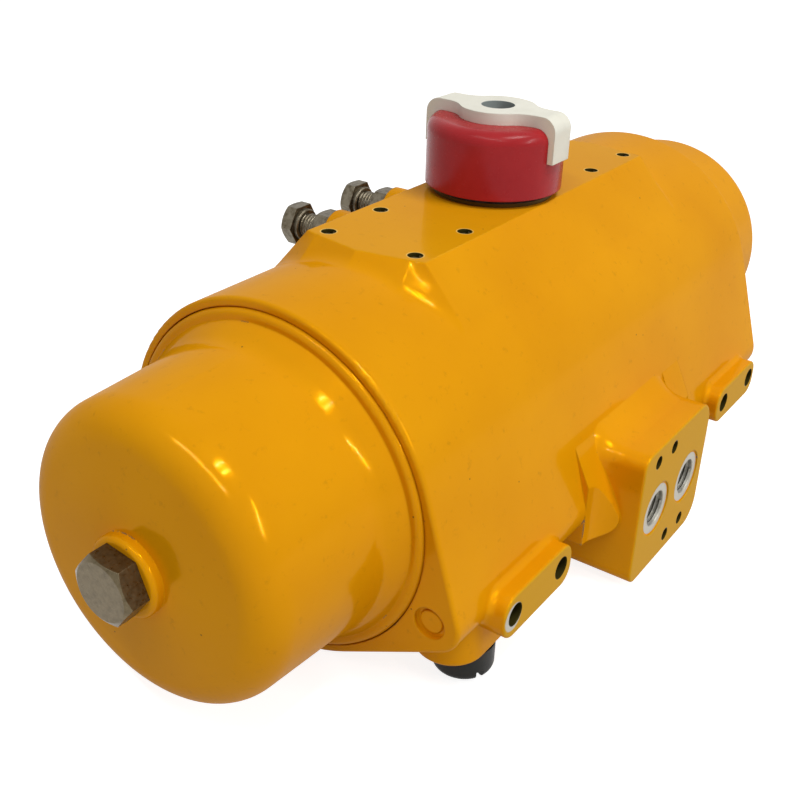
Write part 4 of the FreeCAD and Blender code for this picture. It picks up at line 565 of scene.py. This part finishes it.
def screw_thread(name, start, axis, radius, pitch, length, height, steps=THREAD_STEPS):
    """A helical ridge with a three-cornered section: height over 0 stands out, under 0 stands in."""
    along = Vector(axis)
    side = Vector((1, 0, 0))
    other = along.cross(side)
    root = radius - math.copysign(THREAD_OVERLAP, height)
    half_foot = THREAD_HALF_FOOT * pitch
    section = ((root, -half_foot), (radius + height, 0.0), (root, half_foot))
    corners = len(section)
    count = int(steps * length / pitch)
    points = []
    for step in range(count + 1):
        angle = 2 * math.pi * step / steps
        outward = side * math.cos(angle) + other * math.sin(angle)
        centre = Vector(start) + along * (pitch * step / steps)
        points += [(centre + outward * reach + along * shift) * MM for reach, shift in section]
    last = corners * count
    faces = [(0, 2, 1), (last, last + 1, last + 2)]
    for step in range(count):
        faces += band(corners * step, corners * (step + 1), corners)
    return make_piece(name, points, faces)


def turned(name, start, profile):
    """A closed ring turned about a line along Y, from a profile of radius and height."""
    count = len(profile)
    points = []
    for step in range(COLLAR_STEPS):
        angle = 2 * math.pi * step / COLLAR_STEPS
        for radius, height in profile:
            across = start[0] + radius * math.cos(angle)
            up = start[2] + radius * math.sin(angle)
            points.append((across * MM, (start[1] + height) * MM, up * MM))
    faces = []
    for step in range(COLLAR_STEPS):
        faces += band(step * count, (step + 1) % COLLAR_STEPS * count, count)
    piece = make_piece(name, points, faces)
    shade_by_angle(piece)
    return piece


def add_threads(stop_steel):
    """Threads that show: on the travel stops, in the air ports and in the pad's tapped holes."""
    collar_profile = ((STOP_SHANK, 0), (COLLAR_RADIUS - COLLAR_CHAMFER, 0), (COLLAR_RADIUS, COLLAR_CHAMFER),
                      (COLLAR_RADIUS, COLLAR_LENGTH), (STOP_SHANK, COLLAR_LENGTH))
    for end in ("_front", "_rear"):
        low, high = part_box("stop_bolt" + end)
        nut_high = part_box("stop_nut" + end)[1]
        across = (low[0] + high[0]) / 2 / MM
        up = (low[2] + high[2]) / 2 / MM
        start = (across, nut_high[1] / MM + STOP_THREAD_GAP, up)
        collar_start = (across, high[1] / MM - STOP_HEAD - COLLAR_LENGTH, up)
        length = collar_start[1] - start[1]
        piece = screw_thread("stop_thread" + end, start, (0, 1, 0), STOP_SHANK, STOP_PITCH, length,
                             STOP_THREAD_HEIGHT)
        piece.data.materials.append(stop_steel)
        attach(piece, "travel_stop" + end)
        collar = turned("stop_collar" + end, collar_start, collar_profile)
        collar.data.materials.append(stop_steel)
        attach(collar, "travel_stop" + end)
    port_metal = metal("port_thread", PORT_METAL, PORT_STAIN, 0.5, 0.05)
    for side, across in (("left", -PORT_SPACING), ("right", PORT_SPACING)):
        start = (across, -PORT_FACE + PORT_THREAD_SINK, PORT_HEIGHT)
        piece = screw_thread("port_thread_" + side, start, (0, 1, 0), PORT_BORE, PORT_PITCH,
                             PORT_THREAD_LENGTH, PORT_THREAD_HEIGHT)
        piece.data.materials.append(port_metal)
        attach(piece, "root")
    hole_metal = metal("hole_thread", HOLE_METAL, HOLE_STAIN, 0.5, 0.05)
    number = 0
    for at_x, at_y in PAD_HOLES:
        for side_x in (-1, 1):
            for side_y in (-1, 1):
                number += 1
                start = (side_x * at_x, side_y * at_y, PAD_TOP - PAD_THREAD_SINK)
                piece = screw_thread("pad_thread_%d" % number, start, (0, 0, -1), PAD_HOLE_RADIUS,
                                     FINE_PITCH, PAD_THREAD_LENGTH, PAD_THREAD_HEIGHT, PAD_THREAD_STEPS)
                piece.data.materials.append(hole_metal)
                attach(piece, "root")


def coils():
    """Copies of the springs on the root, in place of the stiff ones, which are hidden."""
    for end, fixed in (("_front", 0), ("_rear", 1)):
        for node in ("spring_outer" + end, "spring_inner" + end):
            coil = bpy.data.objects.new("coil_" + node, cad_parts[node].data.copy())
            bpy.context.scene.collection.objects.link(coil)
            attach(coil, "root")
            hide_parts(node)
            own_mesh(coil)


def camera():
    data = bpy.data.cameras.new("photo_camera")
    data.sensor_width = SENSOR_WIDTH
    data.lens = FOCAL_PIXELS * SENSOR_WIDTH / FRAME_PIXELS
    data.clip_start = NEAR_CLIP
    piece = bpy.data.objects.new("photo_camera", data)
    back = -CAMERA_FORWARD.normalized()
    right = CAMERA_UP.cross(back).normalized()
    up = back.cross(right)
    turn = Matrix((right, up, back)).transposed()
    piece.matrix_world = Matrix.Translation(CAMERA_PLACE) @ turn.to_4x4()
    bpy.context.scene.collection.objects.link(piece)
    bpy.context.scene.camera = piece


def floor():
    """White ground that glows for the camera and in reflections, and takes shadows."""
    half = FLOOR_SIZE / 2
    corners = [(-half, -half, 0), (half, -half, 0), (half, half, 0), (-half, half, 0)]
    piece = make_piece("floor", corners, [(0, 1, 2, 3)])
    n = Nodes("floor_white")
    n.set(Base_Color=FLOOR_GREY, Roughness=0.9, Specular_IOR_Level=0.0)
    seen = n.new("LightPath")
    glow = n.new("Emission")
    glow.inputs["Color"].default_value = WHITE
    rays = ("Is Camera Ray", "Is Glossy Ray", "Is Transmission Ray")
    shown = n.chain("ADD", [seen.outputs[ray] for ray in rays])
    n.join(n.math("MULTIPLY", n.math("MINIMUM", shown, 1.0), FLOOR_GLOW), glow.inputs["Strength"])
    total = n.new("AddShader")
    n.join(n.shader.outputs["BSDF"], total.inputs[0])
    n.join(glow.outputs["Emission"], total.inputs[1])
    n.join(total.outputs["Shader"], n.output.inputs["Surface"])
    piece.data.materials.append(n.material)


def strip(name, start, end, width, power):
    """A long narrow lamp from one point to another, facing the object."""
    first, last = Vector(start), Vector(end)
    middle = (first + last) / 2
    along = (last - first).normalized()
    across = along.cross((middle - LAMP_TARGET).normalized()).normalized()
    back = across.cross(along)
    data = bpy.data.lights.new(name, "AREA")
    data.shape = "RECTANGLE"
    data.size = width
    data.size_y = (last - first).length
    data.energy = power
    piece = bpy.data.objects.new(name, data)
    turn = Matrix((across, along, back)).transposed()
    piece.matrix_world = Matrix.Translation(middle) @ turn.to_4x4()
    bpy.context.scene.collection.objects.link(piece)


def lights():
    """The lamps, and surroundings that are white where seen or reflected and dimmer as light."""
    for lamp in LAMPS:
        strip(*lamp)
    world = bpy.data.worlds.new("studio")
    world.use_nodes = True
    tree = world.node_tree
    background = tree.nodes["Background"]
    background.inputs["Color"].default_value = WHITE
    seen = tree.nodes.new("ShaderNodeLightPath")
    shown = seen.outputs["Is Camera Ray"]
    for ray in ("Is Glossy Ray", "Is Transmission Ray"):
        either = tree.nodes.new("ShaderNodeMath")
        either.operation = "MAXIMUM"
        tree.links.new(shown, either.inputs[0])
        tree.links.new(seen.outputs[ray], either.inputs[1])
        shown = either.outputs["Value"]
    level = tree.nodes.new("ShaderNodeMapRange")
    level.inputs["To Min"].default_value = WORLD_LEVEL
    level.inputs["To Max"].default_value = 1.0
    tree.links.new(shown, level.inputs["Value"])
    tree.links.new(level.outputs["Result"], background.inputs["Strength"])
    bpy.context.scene.world = world
    bpy.context.scene.view_settings.view_transform = "Standard"


camera()
lights()
floor()
dress()
coils()
